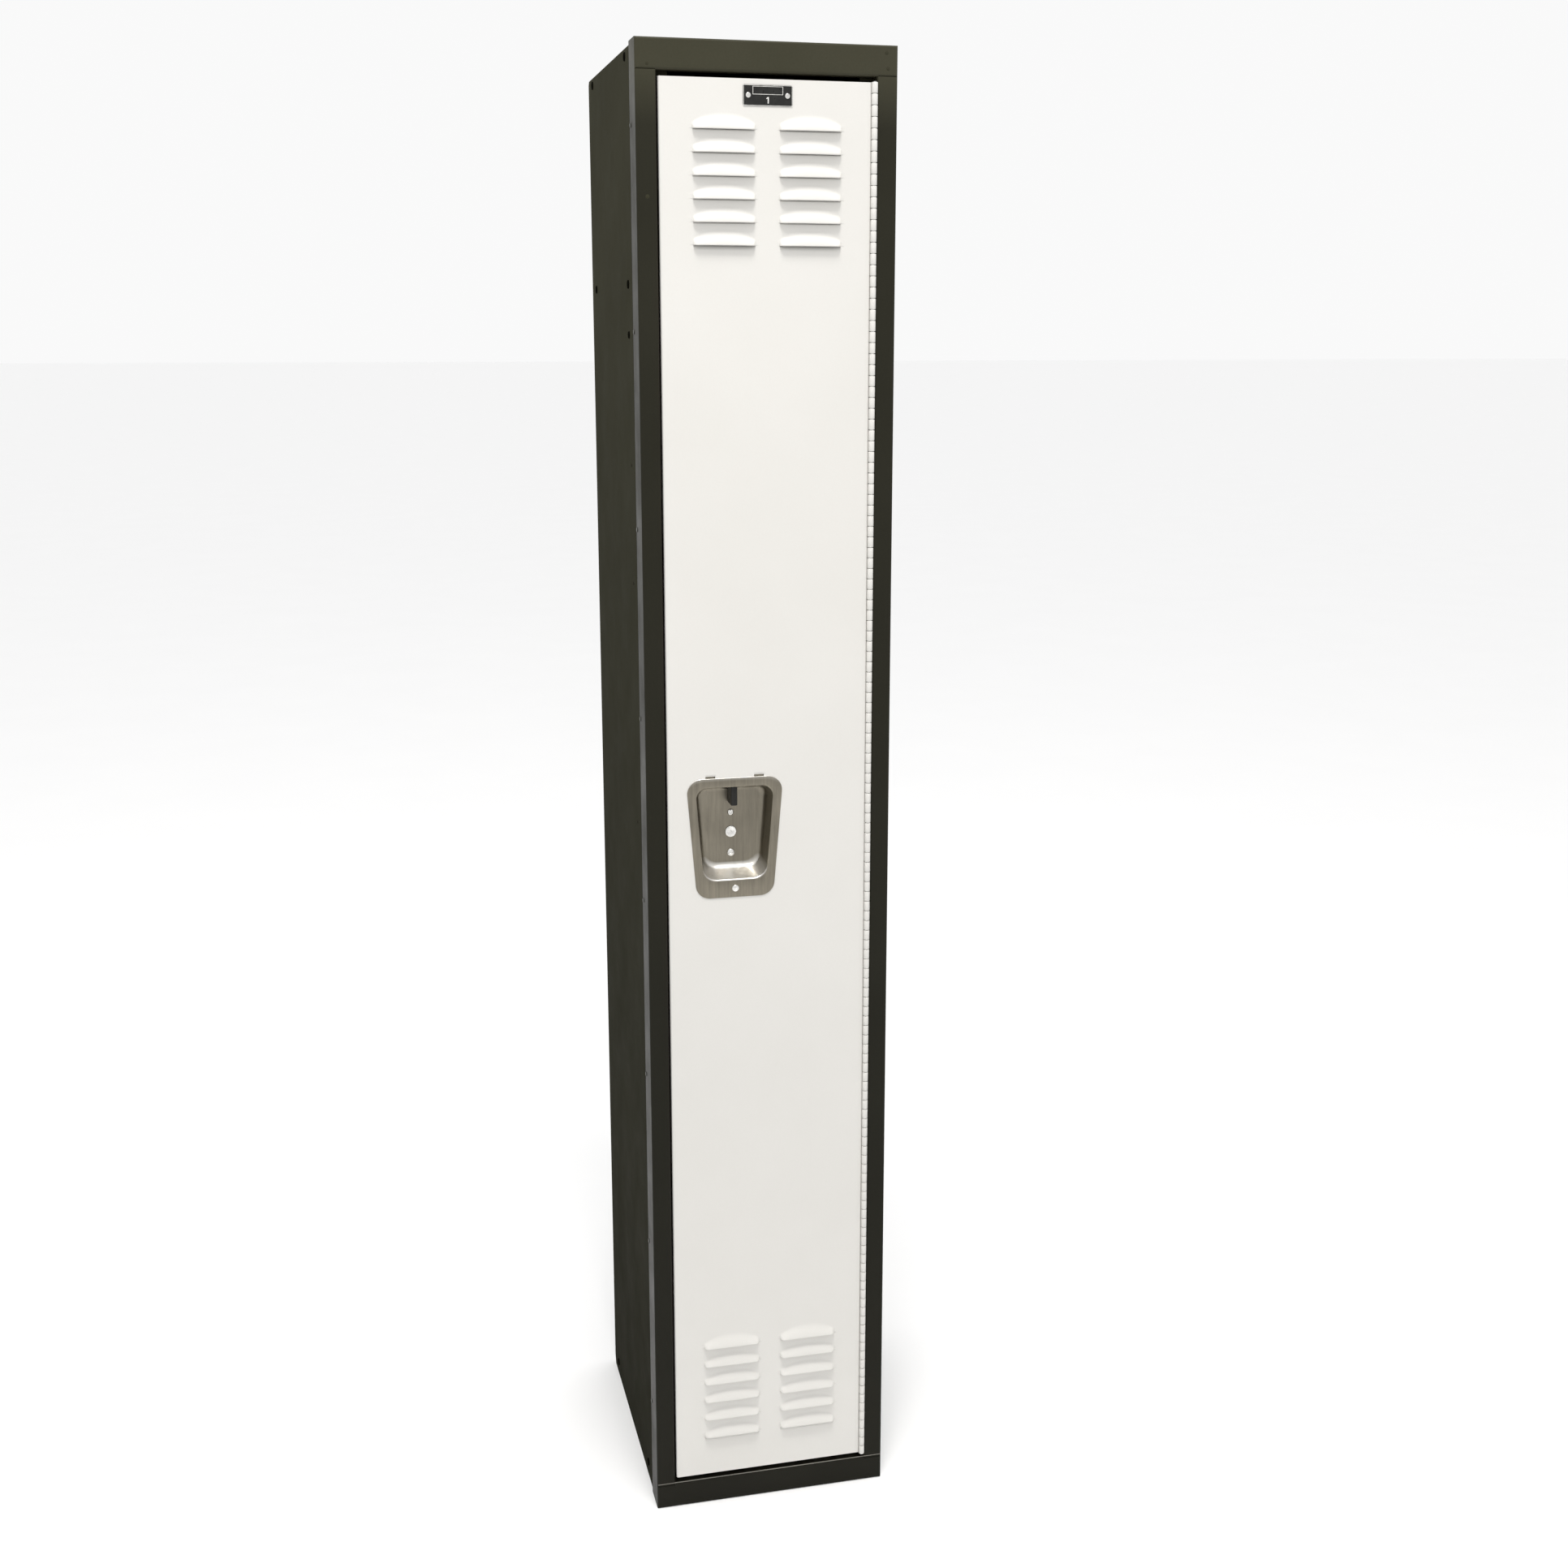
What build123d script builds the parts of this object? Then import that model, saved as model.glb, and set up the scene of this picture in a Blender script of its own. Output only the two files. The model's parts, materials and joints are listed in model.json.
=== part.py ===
from build123d import *
import os

# Single-tier steel school locker: a dark sheet-metal cabinet with a welded front frame,
# a light louvred door on a continuous knuckle hinge, and a lift-to-open pocket handle
# that works a lock bar inside the door.
# Millimetres.  +Z is up, the front faces -Y, +X is to the right seen from the front, and
# the origin is the centre of the footprint on the floor.

# ---- cabinet -------------------------------------------------------------------------
cabinet_width = 304.8
cabinet_depth = 381.0
cabinet_height = 1828.8
louver_depth = 5.5                        # how far the hoods stand proud of the frame face
half_width = cabinet_width / 2
face_y = (louver_depth - cabinet_depth) / 2
back_y = (louver_depth + cabinet_depth) / 2

# ---- sheet stock ---------------------------------------------------------------------
frame_gauge = 1.5
body_gauge = 0.8
frame_bend = 2.5                          # outer radius of a fold in frame stock
body_bend = 1.6

# ---- front frame ---------------------------------------------------------------------
upright_face = 23.8
frame_flange = 40.0                       # depth of the frame's outer side flange
strike_setback = 19.0                     # frame face to the front of the door strike
strike_width = 16.0
top_rail_height = 34.3
bottom_rail_height = 32.3
sill_rise = 3.0                           # the bottom rail stands higher between the uprights
rail_return = 18.0
top_rail_z = cabinet_height - top_rail_height
opening_x = half_width - upright_face     # inner wall of each upright
strike_y = face_y + strike_setback

# ---- body sheets ---------------------------------------------------------------------
side_outer_x = half_width - frame_gauge
side_inner_x = side_outer_x - body_gauge
side_top_z = cabinet_height - 3.0
fastener_head = 1.6                       # tallest head on the back
back_outer_y = back_y - fastener_head
back_inner_y = back_outer_y - body_gauge
seam_flange = 20.0
seam_front_y = back_inner_y - body_gauge
panel_front_y = strike_y + frame_gauge + 0.5
panel_flange = 20.0
floor_z = bottom_rail_height + 0.7
shelf_z = 1572.0
shelf_flange = 16.0

# ---- side fasteners ------------------------------------------------------------------
front_bolt_y = face_y + 78.0
rear_bolt_y = face_y + 340.0
top_bolt_z = cabinet_height - 11.8
shelf_bolt_z = shelf_z - 8.0
floor_bolt_z = 20.0
wall_hook_z = 1506.0
spare_hole_zs = (912.0, 1211.0, 1353.0)
frame_rivet_y = face_y + 34.0
frame_rivet_pitch = 228.6
frame_rivet_count = 8
frame_rivet_top_z = cabinet_height - 91.0
frame_rivet_zs = [frame_rivet_top_z - frame_rivet_pitch * i for i in range(frame_rivet_count)]
rivet_shank = 1.6
bolt_shank = 2.4
drill_through = 2 * frame_gauge + body_gauge
shelf_hole_radius = 2.0
shelf_hole_spacing = 24.0
seam_rivet_x = half_width - 12.0
seam_rivet_zs = (60.0, 480.0, 900.0, 1330.0, 1770.0)

# ---- anchor holes --------------------------------------------------------------------
floor_anchor_spacing_x = 200.0
floor_anchor_spacing_y = 240.0
floor_anchor_radius = 4.5
wall_anchor_spacing = 152.4
wall_anchor_z = 1740.0
wall_anchor_radius = 3.5

# ---- door ----------------------------------------------------------------------------
door_left_x = -126.4
door_right_x = 121.6
door_bottom_z = 39.5
door_top_z = 1790.2
door_thickness = 16.0
door_corner = 3.5
latch_return = 26.0                       # width of the fold that hides the lock bar
door_return = 12.0
door_rear_y = face_y + door_thickness

# ---- louvres -------------------------------------------------------------------------
louver_width = 73.0
louver_height = 18.2
louver_end = 5.0                          # height of the hood's straight ends
louver_lip = 3.4                          # height of the hood's blunt front edge
louver_front_inset = 4.2
louver_wall = 1.2
louver_pitch = 25.4
louver_rows = 6
louver_column_x = (-51.9, 49.3)
upper_louver_z = 1732.7                   # lower lip of the top row
lower_louver_z = 223.0                    # lower lip of the first row of the lower bank

# ---- continuous hinge ----------------------------------------------------------------
knuckle_radius = 3.5
pin_radius = 2.2
pin_clearance = 0.05
hinge_x = door_right_x + knuckle_radius
hinge_bottom_z = 40.0
hinge_top_z = 1788.5
knuckle_count = 138
knuckle_gap = 0.3
knuckle_pitch = (hinge_top_z - hinge_bottom_z) / knuckle_count
leaf_gauge = 1.2
leaf_depth = 15.0
leaf_relief = 4.0                         # the plain leaf starts this far behind the axis
hinge_rivet_count = 10
hinge_rivet_inset = 40.0
hinge_rivet_y = face_y + 9.8
hinge_rivet_pitch = (hinge_top_z - hinge_bottom_z - 2 * hinge_rivet_inset) / (hinge_rivet_count - 1)
hinge_rivet_zs = [
    hinge_bottom_z + hinge_rivet_inset + hinge_rivet_pitch * i for i in range(hinge_rivet_count)
]

# ---- recessed handle pocket ----------------------------------------------------------
pocket_x = -43.5
pocket_gauge = 1.0
flange_top_z = 981.0
flange_bottom_z = 830.0
flange_top_half = 60.5
flange_bottom_half = 48.0
flange_corner = 18.0
mouth_top_z = 969.0
mouth_bottom_z = 853.0
mouth_top_half = 48.3
mouth_bottom_half = 39.3
mouth_corner = 13.0
cup_depth = 26.0
cup_draft = 4.0                           # how far the walls lean in over the depth
cup_floor_rise = 10.0                     # the floor slopes up towards the back
pocket_tab_x = 30.2                       # each tab's distance from the pocket's centre
pocket_tab_width = 11.5
pocket_tab_z = 981.6
upper_screw_z = 931.5
lock_cover_z = 907.0
lower_screw_z = 880.0
flange_screw_z = 841.5
screw_shank = 2.0
upper_screw_radius = 4.0
lower_screw_radius = 4.8
flange_screw_radius = 4.3
lock_cover_radius = 7.4

# ---- latch works ---------------------------------------------------------------------
lift_travel = 8.0
hook_zs = (330.0, 914.0, 1500.0)
hook_x = -119.0
hook_plate = 1.5
hook_foot_x = (hook_x - 6.0, hook_x + 5.0)
hook_root_y = strike_y - frame_gauge      # front of the hook's foot
hook_tip_y = face_y + 5.0
hook_tip = 3.5                            # thickness of the upturned tip, front to back
hook_tip_top = 12.0                       # height of the tip above the hook's centre
bar_left_x = -113.0
bar_right_x = -103.0
bar_front_y = face_y + 4.0
bar_gauge = 3.0
bar_bottom_z = 300.0
bar_top_z = 1560.0
bar_rear_y = bar_front_y + bar_gauge
bar_x = (bar_left_x + bar_right_x) / 2
latch_foot_gauge = 1.0
latch_rivet_rises = (24.0, 36.0)          # the rivets' heights above the hook's centre
latch_rise = 13.5                         # latch's underside above the hook's centre
latch_gauge = 1.5
latch_front_y = face_y + 9.7
latch_rear_y = face_y + 12.7
guide_zs = (430.0, 1120.0, 1440.0)
link_bottom_z = 980.0
link_top_z = 995.0
link_gauge = 1.5
link_rivet_z = (link_bottom_z + link_top_z) / 2
trigger_width = 8.0
trigger_bottom_z = 944.8
trigger_front_y = face_y + 3.0
trigger_rear_y = face_y + 24.2
tongue_width = 4.4
tongue_bottom_z = 958.0

# ---- number plate --------------------------------------------------------------------
plate_x = -0.8
plate_z = 1770.0
plate_width = 57.6
plate_height = 23.0
plate_gauge = 0.8
plate_rivet_x = 22.8

front = Plane(origin=(0, face_y, 0), x_dir=(1, 0, 0), z_dir=(0, -1, 0))


# ---- shared shapes -------------------------------------------------------------------
def block(x_span, y_span, z_span, mode=Mode.ADD):
    """A box between the given spans, added to or cut from the part being built."""
    spans = (x_span, y_span, z_span)
    with Locations([tuple(sum(span) / 2 for span in spans)]):
        Box(*(max(span) - min(span) for span in spans), mode=mode)


def outward(side, x, y, z):
    """A plane on a side wall whose normal points out of the cabinet; side is -1 or +1."""
    return Plane(origin=(side * x, y, z), x_dir=(0, 1, 0), z_dir=(side, 0, 0))


def fold(points, gauge, radius, side):
    """The closed section of a folded strip: one face's line, thickened to one side."""
    with BuildSketch() as section:
        with BuildLine():
            FilletPolyline(*points, radius=radius)
            offset(amount=gauge, side=side)
        make_face()
    return section.sketch


def tray(x_span, y_span, z_span):
    """A body sheet with its four edges folded down."""
    with BuildPart() as sheet:
        block(x_span, y_span, z_span)
        fillet(sheet.edges().filter_by(Axis.Z), radius=body_bend)
        fillet(sheet.edges().group_by(Axis.Z)[-1], radius=body_bend)
        offset(amount=-body_gauge, openings=sheet.faces().sort_by(Axis.Z)[0])
    return sheet.part


def headed_pin(head_radius, head_height, shank_radius, length, tail_radius=0, tail_height=0):
    """A rivet or bolt along Z: rounded head above Z = 0, shank below, an optional tail."""
    with BuildPart() as pin:
        with Locations((0, 0, head_height / 2)):
            Cylinder(head_radius, head_height)
        fillet(pin.edges().group_by(Axis.Z)[-1], radius=0.75 * head_height)
        with Locations((0, 0, -length / 2)):
            Cylinder(shank_radius, length)
        if tail_radius:
            with Locations((0, 0, -length + tail_height / 2)):
                Cylinder(tail_radius, tail_height)
    return pin.part


def hex_nut(across_flats, height, bore_radius):
    """A nut that lies from Z = -height up to Z = 0."""
    with BuildPart() as nut:
        with BuildSketch(Plane.XY.offset(-height)):
            RegularPolygon(across_flats / 2, 6, major_radius=False)
            Circle(bore_radius, mode=Mode.SUBTRACT)
        extrude(amount=height)
    return nut.part


def pocket_outline(top_half, bottom_half, top_z, bottom_z, corner):
    """A rounded trapezium, wide at the top, on the door's face."""
    with BuildSketch() as outline:
        Polygon(
            (pocket_x - bottom_half, bottom_z),
            (pocket_x + bottom_half, bottom_z),
            (pocket_x + top_half, top_z),
            (pocket_x - top_half, top_z),
            align=None,
        )
        fillet(outline.vertices(), radius=corner)
    return outline.sketch


def pocket_cup(grow, front_depth):
    """The tapering body of the pocket, grown all round by a thickness."""
    with BuildPart() as cup:
        with BuildSketch(front.offset(-front_depth)):
            add(pocket_outline(
                mouth_top_half + grow,
                mouth_bottom_half + grow,
                mouth_top_z + grow,
                mouth_bottom_z - grow,
                mouth_corner + grow,
            ))
        with BuildSketch(front.offset(-cup_depth - grow)):
            add(pocket_outline(
                mouth_top_half + grow - cup_draft,
                mouth_bottom_half + grow - cup_draft,
                mouth_top_z + grow - cup_draft,
                mouth_bottom_z - grow + cup_floor_rise,
                mouth_corner + grow - 3,
            ))
        loft(ruled=True)
    return cup.part


def hood_outline(inset, base, peak):
    """A louvre's arched outline: straight lip, short ends, one arc over the top."""
    half = louver_width / 2 - inset
    with BuildSketch() as outline:
        with BuildLine():
            Polyline((-half, base), (-half, 0), (half, 0), (half, base))
            ThreePointArc((half, base), (0, peak), (-half, base))
        make_face()
    return outline.sketch


def hood(shrink, start, reach):
    """A louvre hood, or the space under one when it is shrunk by the wall."""
    peak = louver_height - 1.6 * shrink
    with BuildPart() as shape:
        with BuildSketch(front.offset(start)):
            add(hood_outline(shrink, louver_end, peak))
        with BuildSketch(front.offset(reach)):
            add(hood_outline(louver_front_inset + shrink, 1.0, louver_lip))
        loft(ruled=True)
    return shape.part


# ---- front frame ---------------------------------------------------------------------
def upright(side):
    """A frame upright: side flange, face and inner wall in one fold."""
    outline = [
        (side * half_width, face_y + frame_flange),
        (side * half_width, face_y),
        (side * opening_x, face_y),
        (side * opening_x, strike_y),
    ]
    turn = Side.LEFT if side < 0 else Side.RIGHT
    with BuildPart() as post:
        with BuildSketch(Plane.XY.offset(bottom_rail_height)):
            add(fold(outline, frame_gauge, frame_bend, turn))
        extrude(amount=top_rail_z - bottom_rail_height)
        for z in frame_rivet_zs:
            with Locations(outward(side, half_width, frame_rivet_y, z)):
                Hole(radius=rivet_shank, depth=2 * frame_gauge)
        if side > 0:
            for z in hinge_rivet_zs:
                with Locations(Plane(origin=(opening_x, hinge_rivet_y, z), z_dir=(-1, 0, 0))):
                    Hole(radius=rivet_shank, depth=2 * frame_gauge)
    return post


left_upright = upright(-1)
right_upright = upright(1)


def door_strike(side):
    """The strip welded behind an upright's inner wall that stops the door."""
    with BuildPart() as strip:
        block(
            (side * (opening_x - strike_width), side * (opening_x + frame_gauge)),
            (strike_y, strike_y + frame_gauge),
            (bottom_rail_height, top_rail_z),
        )
    return strip


left_strike = door_strike(-1)
right_strike = door_strike(1)

with BuildPart() as top_rail:
    block((-half_width, half_width), (face_y, face_y + frame_flange), (top_rail_z, cabinet_height))
    fillet(top_rail.faces().sort_by(Axis.Y)[0].edges(), radius=frame_bend)
    offset(amount=-frame_gauge, openings=top_rail.faces().sort_by(Axis.Y)[-1])
    block(
        (-side_outer_x, side_outer_x),
        (face_y + rail_return, face_y + frame_flange),
        (top_rail_z, top_rail_z + frame_gauge),
        mode=Mode.SUBTRACT,
    )

sill_half = opening_x - 0.2
sill_z = bottom_rail_height + sill_rise
with BuildPart() as bottom_rail:
    block((-half_width, half_width), (face_y, face_y + frame_flange), (0, bottom_rail_height))
    fillet(bottom_rail.faces().sort_by(Axis.Y)[0].edges(), radius=frame_bend)
    offset(amount=-frame_gauge, openings=bottom_rail.faces().sort_by(Axis.Y)[-1])
    block(
        (-side_outer_x, side_outer_x),
        (face_y + rail_return, face_y + frame_flange),
        (bottom_rail_height - 2 * frame_gauge, bottom_rail_height),
        mode=Mode.SUBTRACT,
    )
    # between the uprights the top fold stands higher, as a raised sill
    block(
        (-sill_half, sill_half),
        (face_y, face_y + frame_flange),
        (bottom_rail_height - 2 * frame_bend, bottom_rail_height),
        mode=Mode.SUBTRACT,
    )
    sill_line = [(face_y, bottom_rail_height - 10), (face_y, sill_z), (face_y + rail_return, sill_z)]
    with BuildSketch(Plane.YZ.offset(-sill_half)):
        add(fold(sill_line, frame_gauge, frame_bend, Side.RIGHT))
    extrude(amount=2 * sill_half)


# ---- cabinet body --------------------------------------------------------------------
bolt_places = [
    (y, z)
    for z in (floor_bolt_z, shelf_bolt_z, top_bolt_z)
    for y in (front_bolt_y, rear_bolt_y)
]


def side_panel(side):
    """A side sheet: tucked inside the frame's flange, folded in at the back."""
    outline = [
        (side * side_outer_x, strike_y),
        (side * side_outer_x, back_inner_y),
        (side * (side_outer_x - seam_flange), back_inner_y),
    ]
    turn = Side.RIGHT if side < 0 else Side.LEFT
    with BuildPart() as sheet:
        with BuildSketch():
            add(fold(outline, body_gauge, body_bend, turn))
        extrude(amount=side_top_z)
        # clear of the bottom rail's floor flange
        block(
            (side * half_width, side * (side_inner_x - 1)),
            (face_y, face_y + frame_flange + 0.2),
            (0, frame_gauge + 0.2),
            mode=Mode.SUBTRACT,
        )
        # back corners clipped
        with BuildSketch(Plane.YZ.offset(-half_width)):
            with BuildLine():
                Polyline((back_y, -1), (back_y, 22), (back_inner_y - 8, -1), close=True)
            make_face()
            with BuildLine():
                Polyline(
                    (back_y, side_top_z + 1),
                    (back_y, side_top_z - 9),
                    (back_inner_y - 7, side_top_z + 1),
                    close=True,
                )
            make_face()
        extrude(amount=cabinet_width, mode=Mode.SUBTRACT)
        for z in frame_rivet_zs:
            with Locations(outward(side, half_width, frame_rivet_y, z)):
                Hole(radius=rivet_shank, depth=drill_through)
        for y, z in bolt_places + [(front_bolt_y, wall_hook_z)]:
            with Locations(outward(side, half_width, y, z)):
                Hole(radius=bolt_shank, depth=drill_through)
        for z in spare_hole_zs:
            with Locations(outward(side, half_width, front_bolt_y, z)):
                Hole(radius=bolt_shank, depth=drill_through)
        for z in seam_rivet_zs:
            with Locations(Plane(origin=(side * seam_rivet_x, back_outer_y, z), z_dir=(0, 1, 0))):
                Hole(radius=rivet_shank, depth=2 * frame_gauge)
    return sheet


left_side_panel = side_panel(-1)
right_side_panel = side_panel(1)


def drill_sides(zs_ys, radius):
    """Holes through both folded ends of a tray that lies between the side sheets."""
    for side in (-1, 1):
        for y, z in zs_ys:
            with Locations(outward(side, half_width, y, z)):
                Hole(radius=radius, depth=half_width - side_inner_x + 2)


with BuildPart() as top_panel:
    add(tray(
        (-side_inner_x, side_inner_x),
        (panel_front_y, seam_front_y),
        (side_top_z - panel_flange, side_top_z),
    ))
    drill_sides([(front_bolt_y, top_bolt_z), (rear_bolt_y, top_bolt_z)], bolt_shank)

with BuildPart() as bottom_panel:
    add(tray(
        (-side_inner_x, side_inner_x),
        (panel_front_y, seam_front_y),
        (floor_z - panel_flange, floor_z),
    ))
    drill_sides([(front_bolt_y, floor_bolt_z), (rear_bolt_y, floor_bolt_z)], bolt_shank)
    with Locations((0, 0, floor_z)):
        with GridLocations(floor_anchor_spacing_x, floor_anchor_spacing_y, 2, 2):
            Hole(radius=floor_anchor_radius, depth=2 * body_gauge)

with BuildPart() as hat_shelf:
    add(tray(
        (-side_inner_x, side_inner_x),
        (panel_front_y + 2, seam_front_y),
        (shelf_z - shelf_flange, shelf_z),
    ))
    drill_sides([(front_bolt_y, shelf_bolt_z), (rear_bolt_y, shelf_bolt_z)], bolt_shank)
    with Locations((0, 0, shelf_z)):
        with GridLocations(shelf_hole_spacing, 1, 2, 1):
            Hole(radius=shelf_hole_radius, depth=2 * body_gauge)

with BuildPart() as back_panel:
    block(
        (-side_inner_x + 1, side_inner_x - 1),
        (back_inner_y, back_outer_y),
        (1.0, side_top_z - 1),
    )
    with Locations(Plane(origin=(0, back_outer_y, 0), x_dir=(-1, 0, 0), z_dir=(0, 1, 0))):
        with Locations((0, wall_anchor_z)):
            with GridLocations(wall_anchor_spacing, 1, 2, 1):
                Hole(radius=wall_anchor_radius, depth=2 * body_gauge)
        for x in (-seam_rivet_x, seam_rivet_x):
            for z in seam_rivet_zs:
                with Locations((x, z)):
                    Hole(radius=rivet_shank, depth=2 * body_gauge)
        with Locations((0, wall_hook_z)):
            Hole(radius=bolt_shank, depth=2 * body_gauge)

# ---- cabinet fasteners ---------------------------------------------------------------
side_bolt = headed_pin(5.0, 1.3, bolt_shank, 9.0)
side_nut = hex_nut(8.0, 4.0, bolt_shank)
flange_inner_x = side_inner_x - body_gauge

with BuildPart() as panel_bolts:
    for side in (-1, 1):
        for y, z in bolt_places:
            with Locations(outward(side, side_outer_x, y, z)):
                add(side_bolt)

with BuildPart() as panel_nuts:
    for side in (-1, 1):
        for y, z in bolt_places:
            with Locations(outward(side, flange_inner_x, y, z)):
                add(side_nut)

with BuildPart() as frame_rivets:
    for side in (-1, 1):
        for z in frame_rivet_zs:
            with Locations(outward(side, half_width, frame_rivet_y, z)):
                add(headed_pin(3.0, 0.8, rivet_shank, 3.0, 2.6, 0.7))

with BuildPart() as seam_rivets:
    for x in (-seam_rivet_x, seam_rivet_x):
        for z in seam_rivet_zs:
            with Locations(Plane(origin=(x, back_outer_y, z), z_dir=(0, 1, 0))):
                add(headed_pin(4.0, fastener_head, rivet_shank, 2.4, 2.6, 0.8))

# ---- frame hooks and silencers -------------------------------------------------------
def frame_hook(centre_z):
    """A catch on the strike: a foot, a neck through the door's fold, an upturned tip."""
    with BuildPart() as hook:
        block(hook_foot_x, (hook_root_y, strike_y), (centre_z - 14, centre_z + 16))
        with BuildSketch(Plane.YZ.offset(hook_x - hook_plate / 2)):
            with BuildLine():
                Polyline(
                    (hook_root_y, centre_z - 5),
                    (hook_tip_y, centre_z - 3),
                    (hook_tip_y, centre_z + hook_tip_top - 2.5),
                    (hook_tip_y + 2.5, centre_z + hook_tip_top),
                    (hook_tip_y + hook_tip, centre_z + hook_tip_top),
                    (hook_tip_y + hook_tip, centre_z + 3),
                    (hook_root_y, centre_z + 3),
                    close=True,
                )
            make_face()
        extrude(amount=hook_plate)
    return hook


lower_frame_hook, middle_frame_hook, upper_frame_hook = [frame_hook(z) for z in hook_zs]

with BuildPart() as silencers:
    for z in hook_zs:
        block(hook_foot_x, (door_rear_y + 0.3, strike_y), (z - 30, z - 18))
    fillet(silencers.edges().filter_by(Axis.Y), radius=2)

# ---- continuous hinge ----------------------------------------------------------------
def hinge_leaf(side, first):
    """A hinge leaf whose knuckles take every other place, starting at the given one."""
    leaf_outer = hinge_x + side * knuckle_radius
    leaf_inner = leaf_outer - side * leaf_gauge
    with BuildPart() as leaf:
        with BuildSketch(Plane.XY.offset(hinge_bottom_z)):
            with Locations((hinge_x, face_y)):
                Circle(knuckle_radius)
            with Locations(((leaf_inner + leaf_outer) / 2, face_y + leaf_depth / 2)):
                Rectangle(leaf_gauge, leaf_depth)
            with Locations((hinge_x, face_y)):
                Circle(pin_radius + pin_clearance, mode=Mode.SUBTRACT)
        extrude(amount=hinge_top_z - hinge_bottom_z)
        gaps = [
            (hinge_x, face_y, hinge_bottom_z + (row + 0.5) * knuckle_pitch)
            for row in range(1 - first, knuckle_count, 2)
        ]
        with Locations(*gaps):
            Box(
                2 * knuckle_radius + 1,
                2 * leaf_relief,
                knuckle_pitch + knuckle_gap,
                mode=Mode.SUBTRACT,
            )
        if side > 0:
            for z in hinge_rivet_zs:
                with Locations(Plane(origin=(leaf_inner, hinge_rivet_y, z), z_dir=(-1, 0, 0))):
                    Hole(radius=rivet_shank, depth=2 * leaf_gauge)
    return leaf


hinge_door_leaf = hinge_leaf(-1, 0)
hinge_frame_leaf = hinge_leaf(1, 1)

with BuildPart() as hinge_pin:
    with Locations((hinge_x, face_y, (hinge_bottom_z + hinge_top_z) / 2)):
        Cylinder(pin_radius, hinge_top_z - hinge_bottom_z + 1)

with BuildPart() as hinge_rivets:
    for z in hinge_rivet_zs:
        rivet_seat = Plane(origin=(opening_x - leaf_gauge, hinge_rivet_y, z), z_dir=(-1, 0, 0))
        with Locations(rivet_seat):
            add(headed_pin(2.8, 1.0, rivet_shank, leaf_gauge + frame_gauge + 1.0, 2.6, 1.0))

# ---- coat hooks ----------------------------------------------------------------------
prong_radius = 2.6
ball_radius = 4.2
hook_plate_gauge = 2.0
shelf_underside_z = shelf_z - body_gauge


def prong(root, heading, drop, reach, rise):
    """A hook wire that leaves its root, dips and turns up to a ball end."""
    def along(out, up):
        return root + heading * out + Vector(0, 0, up)

    with BuildPart() as wire:
        with BuildLine() as path:
            FilletPolyline(
                along(0, 0), along(0.45 * reach, -drop), along(reach, -drop), along(reach, rise),
                radius=5,
            )
        with BuildSketch(Plane(origin=path.line @ 0, z_dir=path.line % 0)):
            Circle(prong_radius)
        sweep(path=path.line)
        with Locations(path.line @ 1):
            Sphere(ball_radius)
    return wire.part


with BuildPart() as ceiling_hook:
    block((-20, 20), (-8, 8), (shelf_underside_z - hook_plate_gauge, shelf_underside_z))
    fillet(ceiling_hook.edges().filter_by(Axis.Z), radius=4)
    with Locations((0, 0, shelf_underside_z - 11)):
        Cylinder(5.0, 20)
    for direction in (-1, 1):
        add(prong(Vector(0, 0, shelf_underside_z - 14), Vector(direction, 0, 0), 10, 30, 8))
    with Locations((0, 0, shelf_underside_z)):
        with GridLocations(shelf_hole_spacing, 1, 2, 1):
            Cylinder(shelf_hole_radius, 2 * (hook_plate_gauge + 0.5), mode=Mode.SUBTRACT)


def wall_hook(seat, inward):
    """A single-prong hook whose plate sits on a wall; inward points into the cabinet."""
    across = inward.cross(Vector(0, 0, 1))
    with BuildPart() as hook:
        with BuildSketch(Plane(origin=seat, x_dir=across, z_dir=inward)):
            RectangleRounded(14, 34, 5)
            Circle(bolt_shank, mode=Mode.SUBTRACT)
        extrude(amount=hook_plate_gauge)
        foot = seat + inward * hook_plate_gauge + Vector(0, 0, -9)
        add(prong(foot, inward, 6, 26, 12))
    return hook


left_wall_hook = wall_hook(Vector(-side_inner_x, front_bolt_y, wall_hook_z), Vector(1, 0, 0))
right_wall_hook = wall_hook(Vector(side_inner_x, front_bolt_y, wall_hook_z), Vector(-1, 0, 0))
rear_wall_hook = wall_hook(Vector(0, back_inner_y, wall_hook_z), Vector(0, -1, 0))

hook_screw = headed_pin(4.2, 1.4, bolt_shank, body_gauge + hook_plate_gauge + 3.0, 3.6, 3.0)
with BuildPart() as coat_hook_screws:
    for side in (-1, 1):
        with Locations(outward(side, side_outer_x, front_bolt_y, wall_hook_z)):
            add(hook_screw)
    with Locations(Plane(origin=(0, back_outer_y, wall_hook_z), z_dir=(0, 1, 0))):
        add(hook_screw)
    shelf_screw_length = body_gauge + hook_plate_gauge + 1.2
    for x in (-shelf_hole_spacing / 2, shelf_hole_spacing / 2):
        with Locations((x, 0, shelf_z)):
            add(headed_pin(3.6, 1.0, shelf_hole_radius, shelf_screw_length, 3.4, 1.2))

# ---- door ----------------------------------------------------------------------------
louver_places = [
    Location((x, 0, bank_z - louver_pitch * row))
    for bank_z in (upper_louver_z, lower_louver_z)
    for x in louver_column_x
    for row in range(louver_rows)
]
cutout_gap = 1.6

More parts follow.
